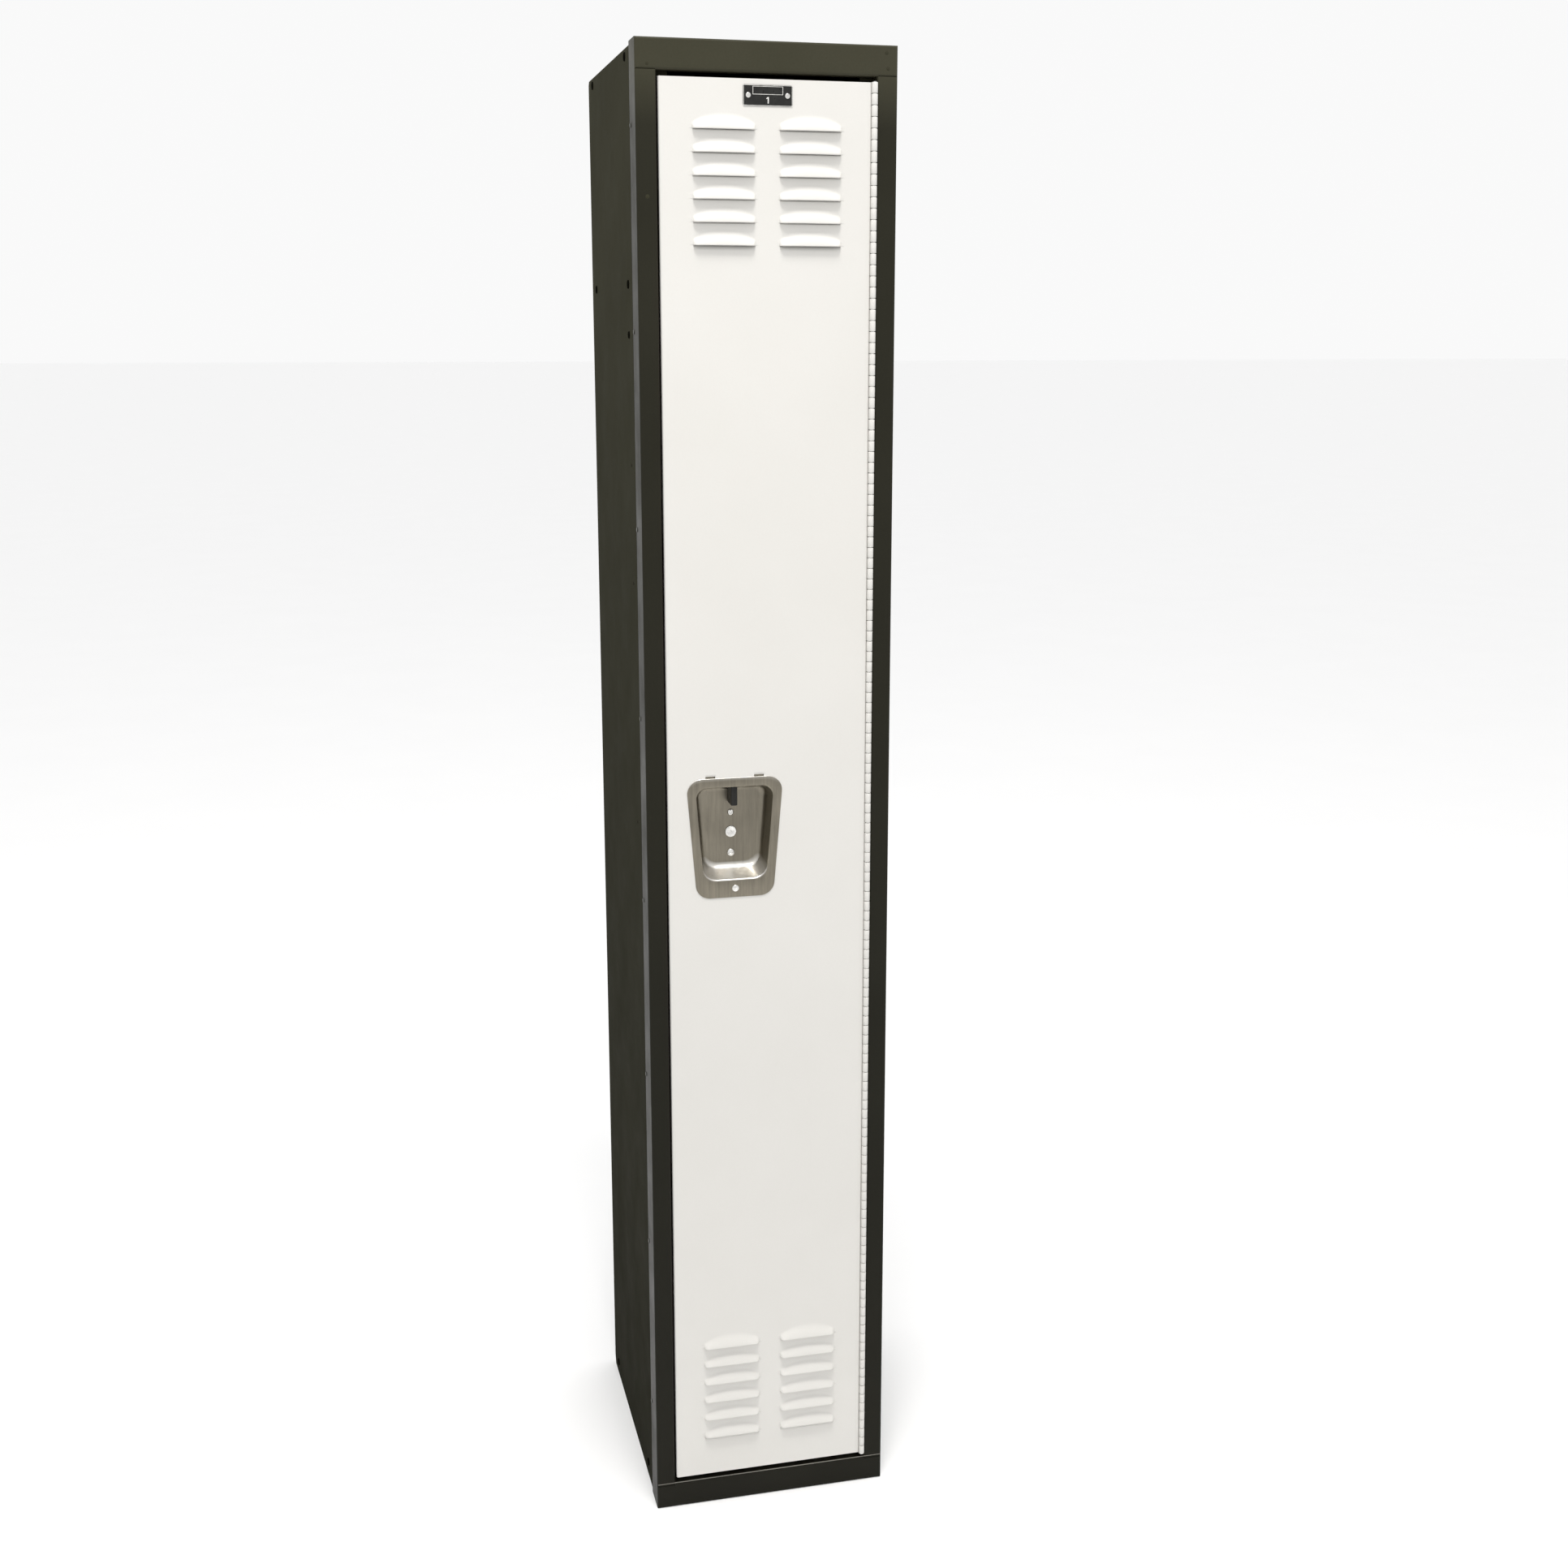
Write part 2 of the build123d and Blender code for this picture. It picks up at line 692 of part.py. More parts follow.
with BuildPart() as door_panel:
    door_x = (door_left_x, door_right_x)
    door_z = (door_bottom_z, door_top_z)
    block(door_x, (face_y, door_rear_y), door_z)
    fillet(door_panel.edges().filter_by(Axis.Y), radius=door_corner)
    fillet(door_panel.faces().sort_by(Axis.Y)[0].edges(), radius=frame_bend)
    # hollow between the skin and the folds
    block(
        (door_left_x + frame_gauge, door_right_x - frame_gauge),
        (face_y + frame_gauge, door_rear_y - frame_gauge),
        (door_bottom_z + frame_gauge, door_top_z - frame_gauge),
        mode=Mode.SUBTRACT,
    )
    # the back is open inside the folds
    block(
        (door_left_x + latch_return, door_right_x - door_return),
        (door_rear_y - frame_gauge, door_rear_y),
        (door_bottom_z + door_return, door_top_z - door_return),
        mode=Mode.SUBTRACT,
    )
    # the latch side's fold is notched where each frame hook enters
    for z in hook_zs:
        block(
            (hook_x - 3.5, hook_x + 3.5),
            (door_rear_y - frame_gauge, door_rear_y),
            (z - 9, z + 19),
            mode=Mode.SUBTRACT,
        )
    # opening for the handle pocket, with two slots for the pocket's tabs
    with BuildSketch(front):
        add(pocket_outline(
            mouth_top_half + cutout_gap,
            mouth_bottom_half + cutout_gap,
            mouth_top_z + cutout_gap,
            mouth_bottom_z - cutout_gap,
            mouth_corner,
        ))
        for x in (-pocket_tab_x, pocket_tab_x):
            with Locations((pocket_x + x, pocket_tab_z + 0.3)):
                Rectangle(pocket_tab_width + 0.6, pocket_gauge + 1.4)
        with Locations((pocket_x, flange_screw_z)):
            Circle(screw_shank)
        for x in (-plate_rivet_x, plate_rivet_x):
            with Locations((plate_x + x, plate_z)):
                Circle(rivet_shank)
    extrude(amount=-frame_gauge, mode=Mode.SUBTRACT)
    # louvres: hoods raised from the skin, each open along its lower lip
    outer_hood = hood(0, -0.5, louver_depth)
    inner_hood = hood(louver_wall, -frame_gauge - 0.5, louver_depth - louver_wall)
    add([outer_hood.moved(place) for place in louver_places])
    add([inner_hood.moved(place) for place in louver_places], mode=Mode.SUBTRACT)

# ---- handle pocket -------------------------------------------------------------------
slot_half = trigger_width / 2 + 0.8
pocket_front_y = face_y - pocket_gauge
with BuildPart() as handle_pocket:
    with BuildSketch(front):
        add(pocket_outline(
            flange_top_half, flange_bottom_half, flange_top_z, flange_bottom_z, flange_corner,
        ))
    extrude(amount=pocket_gauge)
    fillet(handle_pocket.faces().sort_by(Axis.Y)[0].edges(), radius=0.6)
    add(pocket_cup(pocket_gauge, 0))
    add(pocket_cup(0, -pocket_gauge - 0.1), mode=Mode.SUBTRACT)
    # the trigger hangs through a slot in the roof
    block(
        (pocket_x - slot_half, pocket_x + slot_half),
        (face_y + 2.2, face_y + cup_depth - 0.8),
        (mouth_top_z - 12, mouth_top_z + 4),
        mode=Mode.SUBTRACT,
    )
    # tabs that hook behind the skin
    for x in (pocket_x - pocket_tab_x, pocket_x + pocket_tab_x):
        tab = (x - pocket_tab_width / 2, x + pocket_tab_width / 2)
        low = pocket_tab_z - pocket_gauge / 2
        high = low + pocket_gauge
        block(tab, (pocket_front_y, face_y), (low - 1.2, high))
        block(tab, (pocket_front_y, face_y + frame_gauge + 1.1), (low, high))
        block(tab, (face_y + frame_gauge + 0.1, face_y + frame_gauge + 1.1), (low, high + 4))
    for z in (upper_screw_z, lock_cover_z, lower_screw_z):
        with Locations(Plane(origin=(pocket_x, face_y + cup_depth, z), z_dir=(0, -1, 0))):
            Hole(radius=screw_shank, depth=3)
    with Locations(Plane(origin=(pocket_x, pocket_front_y, flange_screw_z), z_dir=(0, -1, 0))):
        Hole(radius=screw_shank, depth=3)

cup_wall_y = face_y + cup_depth
with BuildPart() as pocket_screws:
    for z, radius in ((upper_screw_z, upper_screw_radius), (lower_screw_z, lower_screw_radius)):
        with Locations(Plane(origin=(pocket_x, cup_wall_y, z), z_dir=(0, -1, 0))):
            add(headed_pin(radius, 2.6, screw_shank, 5.5))
    with Locations(Plane(origin=(pocket_x, pocket_front_y, flange_screw_z), z_dir=(0, -1, 0))):
        add(headed_pin(flange_screw_radius, 1.8, screw_shank, 6.5))

with BuildPart() as pocket_nuts:
    for y, z in (
        (cup_wall_y + pocket_gauge, upper_screw_z),
        (cup_wall_y + pocket_gauge, lower_screw_z),
        (face_y + frame_gauge, flange_screw_z),
    ):
        with Locations(Plane(origin=(pocket_x, y + 3.2, z), z_dir=(0, 1, 0))):
            add(hex_nut(7.0, 3.2, screw_shank))

with BuildPart() as lock_hole_cover:
    with Locations(Plane(origin=(pocket_x, cup_wall_y, lock_cover_z), z_dir=(0, -1, 0))):
        add(headed_pin(lock_cover_radius, 1.7, screw_shank, 4.0, 4.5, 2.6))

# ---- number plate --------------------------------------------------------------------
with BuildPart() as number_plate:
    with BuildSketch(front):
        with Locations((plate_x, plate_z)):
            RectangleRounded(plate_width, plate_height, 1.2)
        for x in (-plate_rivet_x, plate_rivet_x):
            with Locations((plate_x + x, plate_z)):
                Circle(rivet_shank, mode=Mode.SUBTRACT)
    extrude(amount=plate_gauge)

with BuildPart() as plate_rivets:
    for x in (-plate_rivet_x, plate_rivet_x):
        plate_seat = Plane(origin=(plate_x + x, face_y - plate_gauge, plate_z), z_dir=(0, -1, 0))
        with Locations(plate_seat):
            add(headed_pin(3.0, 1.0, rivet_shank, plate_gauge + frame_gauge + 1.0, 2.5, 1.0))

# ---- lock bar and latches ------------------------------------------------------------
latch_rivet_zs = [hook + rise for hook in hook_zs for rise in latch_rivet_rises]
latch_foot_y = bar_rear_y + latch_foot_gauge
link_seat = Plane(origin=(bar_x, bar_rear_y + link_gauge, link_rivet_z), z_dir=(0, 1, 0))

with BuildPart() as lock_bar:
    block((bar_left_x, bar_right_x), (bar_front_y, bar_rear_y), (bar_bottom_z, bar_top_z))
    fillet(lock_bar.edges().filter_by(Axis.Y), radius=2)
    for z in latch_rivet_zs + [link_rivet_z]:
        with Locations(Plane(origin=(bar_x, bar_rear_y, z), z_dir=(0, 1, 0))):
            Hole(radius=rivet_shank, depth=2 * bar_gauge)


def latch(centre_z):
    """A spring-steel latch: a foot on the bar and a ledge that drops behind the hook."""
    underside = centre_z + latch_rise
    with BuildPart() as spring:
        block(
            (bar_left_x, bar_right_x),
            (bar_rear_y, latch_foot_y),
            (underside, underside + 28),
        )
        block(
            (bar_left_x, bar_right_x),
            (bar_rear_y, latch_rear_y),
            (underside, underside + latch_gauge),
        )
        block(
            (hook_x - 3, bar_right_x),
            (latch_front_y, latch_rear_y),
            (underside, underside + latch_gauge),
        )
        block(
            (hook_x - 3, bar_right_x),
            (latch_rear_y - latch_gauge, latch_rear_y),
            (underside, underside + 9),
        )
        for rise in latch_rivet_rises:
            with Locations(Plane(origin=(bar_x, latch_foot_y, centre_z + rise), z_dir=(0, 1, 0))):
                Hole(radius=rivet_shank, depth=3)
    return spring


lower_latch, middle_latch, upper_latch = [latch(z) for z in hook_zs]

with BuildPart() as latch_rivets:
    for z in latch_rivet_zs:
        with Locations(Plane(origin=(bar_x, latch_foot_y, z), z_dir=(0, 1, 0))):
            add(headed_pin(2.8, 0.9, rivet_shank, bar_gauge + latch_foot_gauge))
    with Locations(link_seat):
        add(headed_pin(2.8, 0.9, rivet_shank, bar_gauge + link_gauge))

link_span_x = (bar_left_x, pocket_x + trigger_width / 2)
link_span_y = (bar_rear_y, bar_rear_y + link_gauge)
with BuildPart() as slide_plate:
    block(link_span_x, link_span_y, (link_bottom_z, link_top_z))
    block(
        (pocket_x - tongue_width / 2, pocket_x + tongue_width / 2),
        link_span_y,
        (tongue_bottom_z, link_bottom_z),
    )
    with Locations(link_seat):
        Hole(radius=rivet_shank, depth=3)

with BuildPart() as lift_trigger:
    block(
        (pocket_x - trigger_width / 2, pocket_x + trigger_width / 2),
        (trigger_front_y, trigger_rear_y),
        (trigger_bottom_z, link_bottom_z),
    )
    fillet(lift_trigger.edges().filter_by(Axis.Z), radius=1.5)
    fillet(lift_trigger.faces().sort_by(Axis.Z)[0].edges(), radius=1.0)
    block(
        (pocket_x - tongue_width / 2, pocket_x + tongue_width / 2),
        link_span_y,
        (tongue_bottom_z, link_bottom_z),
        mode=Mode.SUBTRACT,
    )

# ---- bar guides and cushion ----------------------------------------------------------
skin_rear_y = face_y + frame_gauge
with BuildPart() as bar_guides:
    for z in guide_zs:
        tall = (z - 10, z + 10)
        block((bar_left_x - 2.5, bar_right_x + 2.5), (skin_rear_y, bar_front_y - 0.2), tall)
        block((bar_left_x - 2.5, bar_left_x - 0.3), (skin_rear_y, bar_rear_y + 2.5), tall)
        block((bar_right_x + 0.3, bar_right_x + 2.5), (skin_rear_y, bar_rear_y + 2.5), tall)
        block((bar_left_x - 2.5, bar_left_x + 1.5), (bar_rear_y + 0.3, bar_rear_y + 2.5), tall)
        block((bar_right_x - 1.5, bar_right_x + 2.5), (bar_rear_y + 0.3, bar_rear_y + 2.5), tall)

with BuildPart() as bar_cushion:
    cushion_top = bar_bottom_z - lift_travel - 0.4
    block(
        (bar_left_x - 1, bar_right_x + 1),
        (skin_rear_y, bar_rear_y + 1.5),
        (cushion_top - 10, cushion_top),
    )
    fillet(bar_cushion.edges().filter_by(Axis.Y), radius=2)

# ---- outputs -------------------------------------------------------------------------
nodes = {
    "left_side_panel": left_side_panel,
    "right_side_panel": right_side_panel,
    "back_panel": back_panel,
    "top_panel": top_panel,
    "bottom_panel": bottom_panel,
    "hat_shelf": hat_shelf,
    "left_upright": left_upright,
    "right_upright": right_upright,
    "left_strike": left_strike,
    "right_strike": right_strike,
    "top_rail": top_rail,
    "bottom_rail": bottom_rail,
    "lower_frame_hook": lower_frame_hook,
    "middle_frame_hook": middle_frame_hook,
    "upper_frame_hook": upper_frame_hook,
    "silencers": silencers,
    "hinge_frame_leaf": hinge_frame_leaf,
    "hinge_pin": hinge_pin,
    "hinge_rivets": hinge_rivets,
    "frame_rivets": frame_rivets,
    "seam_rivets": seam_rivets,
    "panel_bolts": panel_bolts,
    "panel_nuts": panel_nuts,
    "ceiling_hook": ceiling_hook,
    "left_wall_hook": left_wall_hook,
    "right_wall_hook": right_wall_hook,
    "rear_wall_hook": rear_wall_hook,
    "coat_hook_screws": coat_hook_screws,
    "door_panel": door_panel,
    "hinge_door_leaf": hinge_door_leaf,
    "handle_pocket": handle_pocket,
    "pocket_screws": pocket_screws,
    "pocket_nuts": pocket_nuts,
    "lock_hole_cover": lock_hole_cover,
    "number_plate": number_plate,
    "plate_rivets": plate_rivets,
    "bar_guides": bar_guides,
    "bar_cushion": bar_cushion,
    "lock_bar": lock_bar,
    "lower_latch": lower_latch,
    "middle_latch": middle_latch,
    "upper_latch": upper_latch,
    "latch_rivets": latch_rivets,
    "slide_plate": slide_plate,
    "lift_trigger": lift_trigger,
}

os.makedirs("parts", exist_ok=True)
for name, piece in nodes.items():
    piece.part.label = name
    export_step(piece.part, f"parts/{name}.step")
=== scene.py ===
import json
import math

import bmesh
import bpy
from mathutils import Matrix, Vector


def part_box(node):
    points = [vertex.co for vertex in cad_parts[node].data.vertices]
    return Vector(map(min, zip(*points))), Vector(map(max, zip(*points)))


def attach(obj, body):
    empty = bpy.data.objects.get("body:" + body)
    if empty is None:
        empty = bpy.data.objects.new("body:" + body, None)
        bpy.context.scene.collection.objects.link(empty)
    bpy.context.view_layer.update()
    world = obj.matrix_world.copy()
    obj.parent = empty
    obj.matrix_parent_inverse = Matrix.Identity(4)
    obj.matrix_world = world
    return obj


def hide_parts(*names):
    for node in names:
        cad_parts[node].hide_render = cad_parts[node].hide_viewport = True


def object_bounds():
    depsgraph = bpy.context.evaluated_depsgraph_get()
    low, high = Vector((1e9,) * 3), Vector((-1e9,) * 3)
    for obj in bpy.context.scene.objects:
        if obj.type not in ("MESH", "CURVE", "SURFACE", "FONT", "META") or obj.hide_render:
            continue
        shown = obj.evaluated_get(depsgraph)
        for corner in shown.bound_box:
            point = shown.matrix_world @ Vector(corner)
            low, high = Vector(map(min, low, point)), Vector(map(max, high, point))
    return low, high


# A single-tier steel school locker.  Metres; +Z up; the front faces -Y.
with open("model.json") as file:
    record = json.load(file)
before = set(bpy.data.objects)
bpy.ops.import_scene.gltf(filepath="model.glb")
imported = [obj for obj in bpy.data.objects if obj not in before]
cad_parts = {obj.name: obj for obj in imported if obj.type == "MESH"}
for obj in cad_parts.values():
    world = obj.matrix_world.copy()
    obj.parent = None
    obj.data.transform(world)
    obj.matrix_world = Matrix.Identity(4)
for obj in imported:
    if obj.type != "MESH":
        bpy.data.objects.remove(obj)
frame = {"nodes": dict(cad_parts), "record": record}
cad_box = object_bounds()
MM = 0.001

# ---- places read from the frame ------------------------------------------------------
door_lo, door_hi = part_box("door_panel")
upright_lo, upright_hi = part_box("left_upright")
pocket_lo, pocket_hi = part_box("handle_pocket")
plate_lo, plate_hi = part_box("number_plate")
face_y = upright_lo.y                     # front face of the frame and of the door's skin
door_rear_y = door_hi.y


# ---- node helpers --------------------------------------------------------------------
class Shader:
    """A material's node tree around one Principled shader, with short names for links."""

    def __init__(self, name, color, metallic=0.0, roughness=0.5):
        self.material = bpy.data.materials.new(name)
        self.material.use_nodes = True
        self.tree = self.material.node_tree
        self.surface = self.tree.nodes["Principled BSDF"]
        self.surface.inputs["Base Color"].default_value = (*color, 1)
        self.surface.inputs["Metallic"].default_value = metallic
        self.surface.inputs["Roughness"].default_value = roughness
        self.coords = self.add("ShaderNodeTexCoord").outputs["Object"]

    def add(self, kind, **settings):
        node = self.tree.nodes.new(kind)
        for key, value in settings.items():
            setattr(node, key, value)
        return node

    def link(self, output, socket):
        self.tree.links.new(output, socket)

    def stretched(self, scale):
        """Object coordinates scaled by three factors."""
        mapping = self.add("ShaderNodeMapping")
        mapping.inputs["Scale"].default_value = scale
        self.link(self.coords, mapping.inputs["Vector"])
        return mapping.outputs["Vector"]

    def noise(self, scale, detail=3.0, roughness=0.55, stretch=None):
        node = self.add("ShaderNodeTexNoise")
        node.inputs["Scale"].default_value = scale
        node.inputs["Detail"].default_value = detail
        node.inputs["Roughness"].default_value = roughness
        self.link(self.stretched(stretch) if stretch else self.coords, node.inputs["Vector"])
        return node.outputs["Fac"]

    def ramp(self, fac, stops):
        """Maps a value to colours; stops are (position, colour or grey)."""
        node = self.add("ShaderNodeValToRGB")
        elements = node.color_ramp.elements
        while len(elements) < len(stops):
            elements.new(0.5)
        for element, (position, value) in zip(elements, stops):
            element.position = position
            grey = isinstance(value, (int, float))
            element.color = (value, value, value, 1) if grey else (*value, 1)
        self.link(fac, node.inputs["Fac"])
        return node.outputs["Color"]

    def painted_height_tone(self, stops):
        """A tone that changes with height, for painted light and shade; stops run from 0 at the
        floor to 1 at the top.
        """
        split = self.add("ShaderNodeSeparateXYZ")
        self.link(self.coords, split.inputs["Vector"])
        scale = self.add("ShaderNodeMath", operation="MULTIPLY")
        scale.inputs[1].default_value = 1 / cad_box[1].z
        self.link(split.outputs["Z"], scale.inputs[0])
        return self.ramp(scale.outputs["Value"], stops)

    def multiply(self, a, b):
        node = self.add("ShaderNodeMix", data_type="RGBA", blend_type="MULTIPLY")
        node.inputs["Factor"].default_value = 1.0
        self.link(a, node.inputs["A"])
        self.link(b, node.inputs["B"])
        return node.outputs["Result"]

    def bump(self, *layers):
        """Stacks (height output, distance in metres) layers onto the surface's normal."""
        normal = None
        for height, distance in layers:
            node = self.add("ShaderNodeBump")
            node.inputs["Strength"].default_value = 1.0
            node.inputs["Distance"].default_value = distance
            self.link(height, node.inputs["Height"])
            if normal:
                self.link(normal, node.inputs["Normal"])
            normal = node.outputs["Normal"]
        self.link(normal, self.surface.inputs["Normal"])

    def color(self, output):
        self.link(output, self.surface.inputs["Base Color"])

    def roughness(self, output):
        self.link(output, self.surface.inputs["Roughness"])


# ---- materials -----------------------------------------------------------------------
def powder_coat(name, tint, mottle, roughness, peel, dust, specular, shade_at_floor, top=1.0):
    """Baked powder coat: slow tone changes, fine orange peel and faint handling marks.

    Painted shade: the tone drops to the given floor factor at the floor. Painted highlight: the
    tone is multiplied by top along the top rail.
    """
    paint = Shader(name, tint, roughness=roughness)
    broad = paint.ramp(paint.noise(2.2, 4), [(0.3, 1 - mottle), (0.7, 1.0)])
    fine = paint.ramp(paint.noise(420, 2), [(0.35, 1 - 0.35 * mottle), (0.65, 1.0)])
    base = paint.ramp(paint.noise(9, 5), [(0.25, tint), (0.8, dust)])
    # painted shade and highlight by height: darker towards the floor, brighter by top along the
    # top rail
    painted_light_and_shade = paint.painted_height_tone([(0.0, shade_at_floor), (0.55, (1 + shade_at_floor) / 2), (0.95, 1.0), (0.985, top)])
    paint.color(paint.multiply(paint.multiply(paint.multiply(base, broad), fine), painted_light_and_shade))
    sheen = paint.ramp(
        paint.noise(14, 6, 0.65), [(0.3, roughness - 0.06), (0.72, roughness + 0.1)]
    )
    paint.roughness(sheen)
    paint.bump((paint.noise(26, 2), 0.00025), (paint.noise(520, 2, 0.5), peel))
    paint.surface.inputs["Specular IOR Level"].default_value = specular
    return paint.material


def drawn_steel(name, tint, roughness, stretch, streak=0.16, lit=False):
    """Bare metal with fine drawing or rolling lines along one axis.

    With lit, faces that look upwards blend to a near-white colour: a painted highlight for the
    light they reflect.
    """
    steel = Shader(name, tint, metallic=1.0, roughness=roughness)
    lines = steel.noise(260, 4, 0.7, stretch=stretch)
    cloud = steel.noise(18, 4)
    dark = tuple(0.72 * channel for channel in tint)
    tone = steel.ramp(lines, [(0.3, dark), (0.68, tint)])
    base = steel.multiply(tone, steel.ramp(cloud, [(0.3, 0.82), (0.7, 1.0)]))
    if lit:
        split = steel.add("ShaderNodeSeparateXYZ")
        steel.link(steel.add("ShaderNodeNewGeometry").outputs["Normal"], split.inputs["Vector"])
        painted_highlight = steel.add("ShaderNodeMix", data_type="RGBA")
        upward = steel.ramp(split.outputs["Z"], [(0.12, 0.0), (0.8, 1.0)])
        steel.link(upward, painted_highlight.inputs["Factor"])
        steel.link(base, painted_highlight.inputs["A"])
        # painted highlight: a near-white colour on upward faces
        painted_highlight.inputs["B"].default_value = (0.98, 0.96, 0.92, 1)
        base = painted_highlight.outputs["Result"]
    steel.color(base)
    spread = steel.ramp(lines, [(0.2, roughness - streak / 2), (0.8, roughness + streak)])
    steel.roughness(spread)
    steel.bump((lines, 0.00003))
    return steel.material


def plain_metal(name, tint, roughness):
    """Small plated hardware: slightly clouded, faintly pitted."""
    metal = Shader(name, tint, metallic=1.0, roughness=roughness)
    cloud = metal.noise(220, 4)
    dull = tuple(0.7 * channel for channel in tint)
    metal.color(metal.ramp(cloud, [(0.3, dull), (0.65, tint)]))
    metal.roughness(metal.ramp(metal.noise(600, 3), [(0.3, roughness), (0.7, roughness + 0.15)]))
    metal.bump((metal.noise(900, 2), 0.00003))
    return metal.material


def moulded(name, tint, roughness, grain):
    """Moulded plastic or rubber with a fine spark-eroded grain."""
    plastic = Shader(name, tint, roughness=roughness)
    plastic.surface.inputs["Specular IOR Level"].default_value = 0.25
    worn = tuple(min(1, channel * 1.6 + 0.004) for channel in tint)
    plastic.color(plastic.ramp(plastic.noise(90, 4), [(0.35, tint), (0.8, worn)]))
    plastic.roughness(
        plastic.ramp(plastic.noise(240, 3), [(0.3, roughness - 0.05), (0.7, roughness + 0.1)])
    )
    plastic.bump((plastic.noise(1400, 2), grain))
    return plastic.material


# each paint's tone drops towards the floor by its floor factor as painted shade
cabinet_paint = powder_coat(
    "cabinet_powder_coat", tint=(0.041, 0.0395, 0.0255), mottle=0.12, roughness=0.65,
    peel=0.00003, dust=(0.046, 0.0445, 0.0295), specular=0.004, shade_at_floor=0.42,
)
# the frame paint is darker and glossier than the cabinet paint; top=2.2 brightens it along the top
# rail as a painted highlight
frame_paint = powder_coat(
    "frame_powder_coat", tint=(0.021, 0.02, 0.0125), mottle=0.15, roughness=0.42,
    peel=0.00004, dust=(0.025, 0.0238, 0.0155), specular=0.1, shade_at_floor=0.45, top=2.2,
)
fastener_paint = powder_coat(
    "painted_fastener", tint=(0.02, 0.019, 0.013), mottle=0.2, roughness=0.34,
    peel=0.00002, dust=(0.03, 0.029, 0.021), specular=0.3, shade_at_floor=0.9,
)
# near-black: painted shade in the seams behind the frame's flanges, and the real black of the
# panel bolts and coat-hook screws
seam_shade_and_bolt_paint = powder_coat(
    "seam_shade_and_bolt_black", tint=(0.005, 0.005, 0.0035), mottle=0.3, roughness=0.9,
    peel=0.00002, dust=(0.007, 0.007, 0.005), specular=0.0, shade_at_floor=0.8,
)
# light: a painted highlight along the sill's upper edge
sill_highlight_paint = powder_coat(
    "sill_edge_highlight", tint=(0.2, 0.19, 0.165), mottle=0.4, roughness=0.4,
    peel=0.00002, dust=(0.27, 0.255, 0.22), specular=0.3, shade_at_floor=0.95,
)
door_paint = powder_coat(
    "door_powder_coat", tint=(0.70, 0.685, 0.65), mottle=0.03, roughness=0.45,
    peel=0.00003, dust=(0.715, 0.70, 0.668), specular=0.3, shade_at_floor=0.88,
)
# the pocket's steel takes the painted highlight on its upward faces
stainless = drawn_steel("drawn_stainless", (0.27, 0.245, 0.195), 0.3, (1, 1, 0.06), lit=True)
bright_steel = plain_metal("nickel_plate", (0.86, 0.85, 0.82), 0.2)
zinc_steel = plain_metal("zinc_plate", (0.56, 0.56, 0.54), 0.34)
spring_steel = drawn_steel("blued_spring_steel", (0.16, 0.17, 0.20), 0.3, (1, 1, 0.1))
plate_black = moulded("plate_enamel", (0.012, 0.012, 0.011), 0.3, 0.00001)
plate_silver = plain_metal("plate_bare_metal", (0.95, 0.94, 0.9), 0.5)
black_plastic = moulded("trigger_abs", (0.009, 0.009, 0.008), 0.36, 0.00003)
nylon = moulded("natural_nylon", (0.62, 0.61, 0.55), 0.45, 0.00003)
rubber = moulded("bumper_rubber", (0.018, 0.018, 0.018), 0.7, 0.00006)

slot_material = {
    "cabinet_paint": cabinet_paint,
    "door_paint": door_paint,
    "stainless": stainless,
    "bright_steel": bright_steel,
    "zinc_steel": zinc_steel,
    "spring_steel": spring_steel,
    "plate_enamel": plate_black,
    "black_plastic": black_plastic,
    "nylon": nylon,
    "rubber": rubber,
}
# nodes whose finish differs a little from the rest of their slot
node_material = {
    "left_upright": frame_paint,
    "right_upright": frame_paint,
    "top_rail": frame_paint,
    "bottom_rail": frame_paint,
    "frame_rivets": fastener_paint,
    "panel_bolts": seam_shade_and_bolt_paint,
    "coat_hook_screws": seam_shade_and_bolt_paint,
}
for part in frame["record"]["subparts"]:
    mesh = frame["nodes"][part["node"]].data
    mesh.materials.clear()
    finish = node_material.get(part["node"], slot_material[part["material_slot"]])
    mesh.materials.append(finish)


# ---- mesh helpers --------------------------------------------------------------------
def finished(bm, name, body, material, nodes=(), smooth=True, sharp=40):
    """Turns a bmesh into a piece that rides on a body and takes a slot's finish."""
    bmesh.ops.recalc_face_normals(bm, faces=bm.faces)
    mesh = bpy.data.meshes.new(name)
    bm.to_mesh(mesh)
    bm.free()
    mesh.materials.append(material)
    piece = bpy.data.objects.new(name, mesh)
    bpy.context.collection.objects.link(piece)
    if smooth:
        mesh.polygons.foreach_set("use_smooth", [True] * len(mesh.polygons))
        mesh.set_sharp_from_angle(angle=math.radians(sharp))
    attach(piece, body)
    if nodes:
        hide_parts(*nodes)
    return piece


def thicken(piece, gauge):
    """Gives an open skin its sheet thickness, inwards."""
    sheet = piece.modifiers.new("sheet", "SOLIDIFY")
    sheet.thickness = gauge
    sheet.offset = -1


def add_box(bm, low, high):
    """A closed box between two corners."""
    size = Vector(high) - Vector(low)
    centre = (Vector(high) + Vector(low)) / 2
    bmesh.ops.create_cube(
        bm, size=1, matrix=Matrix.Translation(centre) @ Matrix.Diagonal((*size, 1))
    )


def bridge(bm, inner, outer):
    """Quads between two closed loops of vertices with the same count."""
    count = len(inner)
    for i in range(count):
        j = (i + 1) % count
        bm.faces.new((inner[i], inner[j], outer[j], outer[i]))


def smoothstep(t):
    """A smooth rise from 0 to 1, flat at both ends."""
    t = min(1, max(0, t))
    return t * t * (3 - 2 * t)


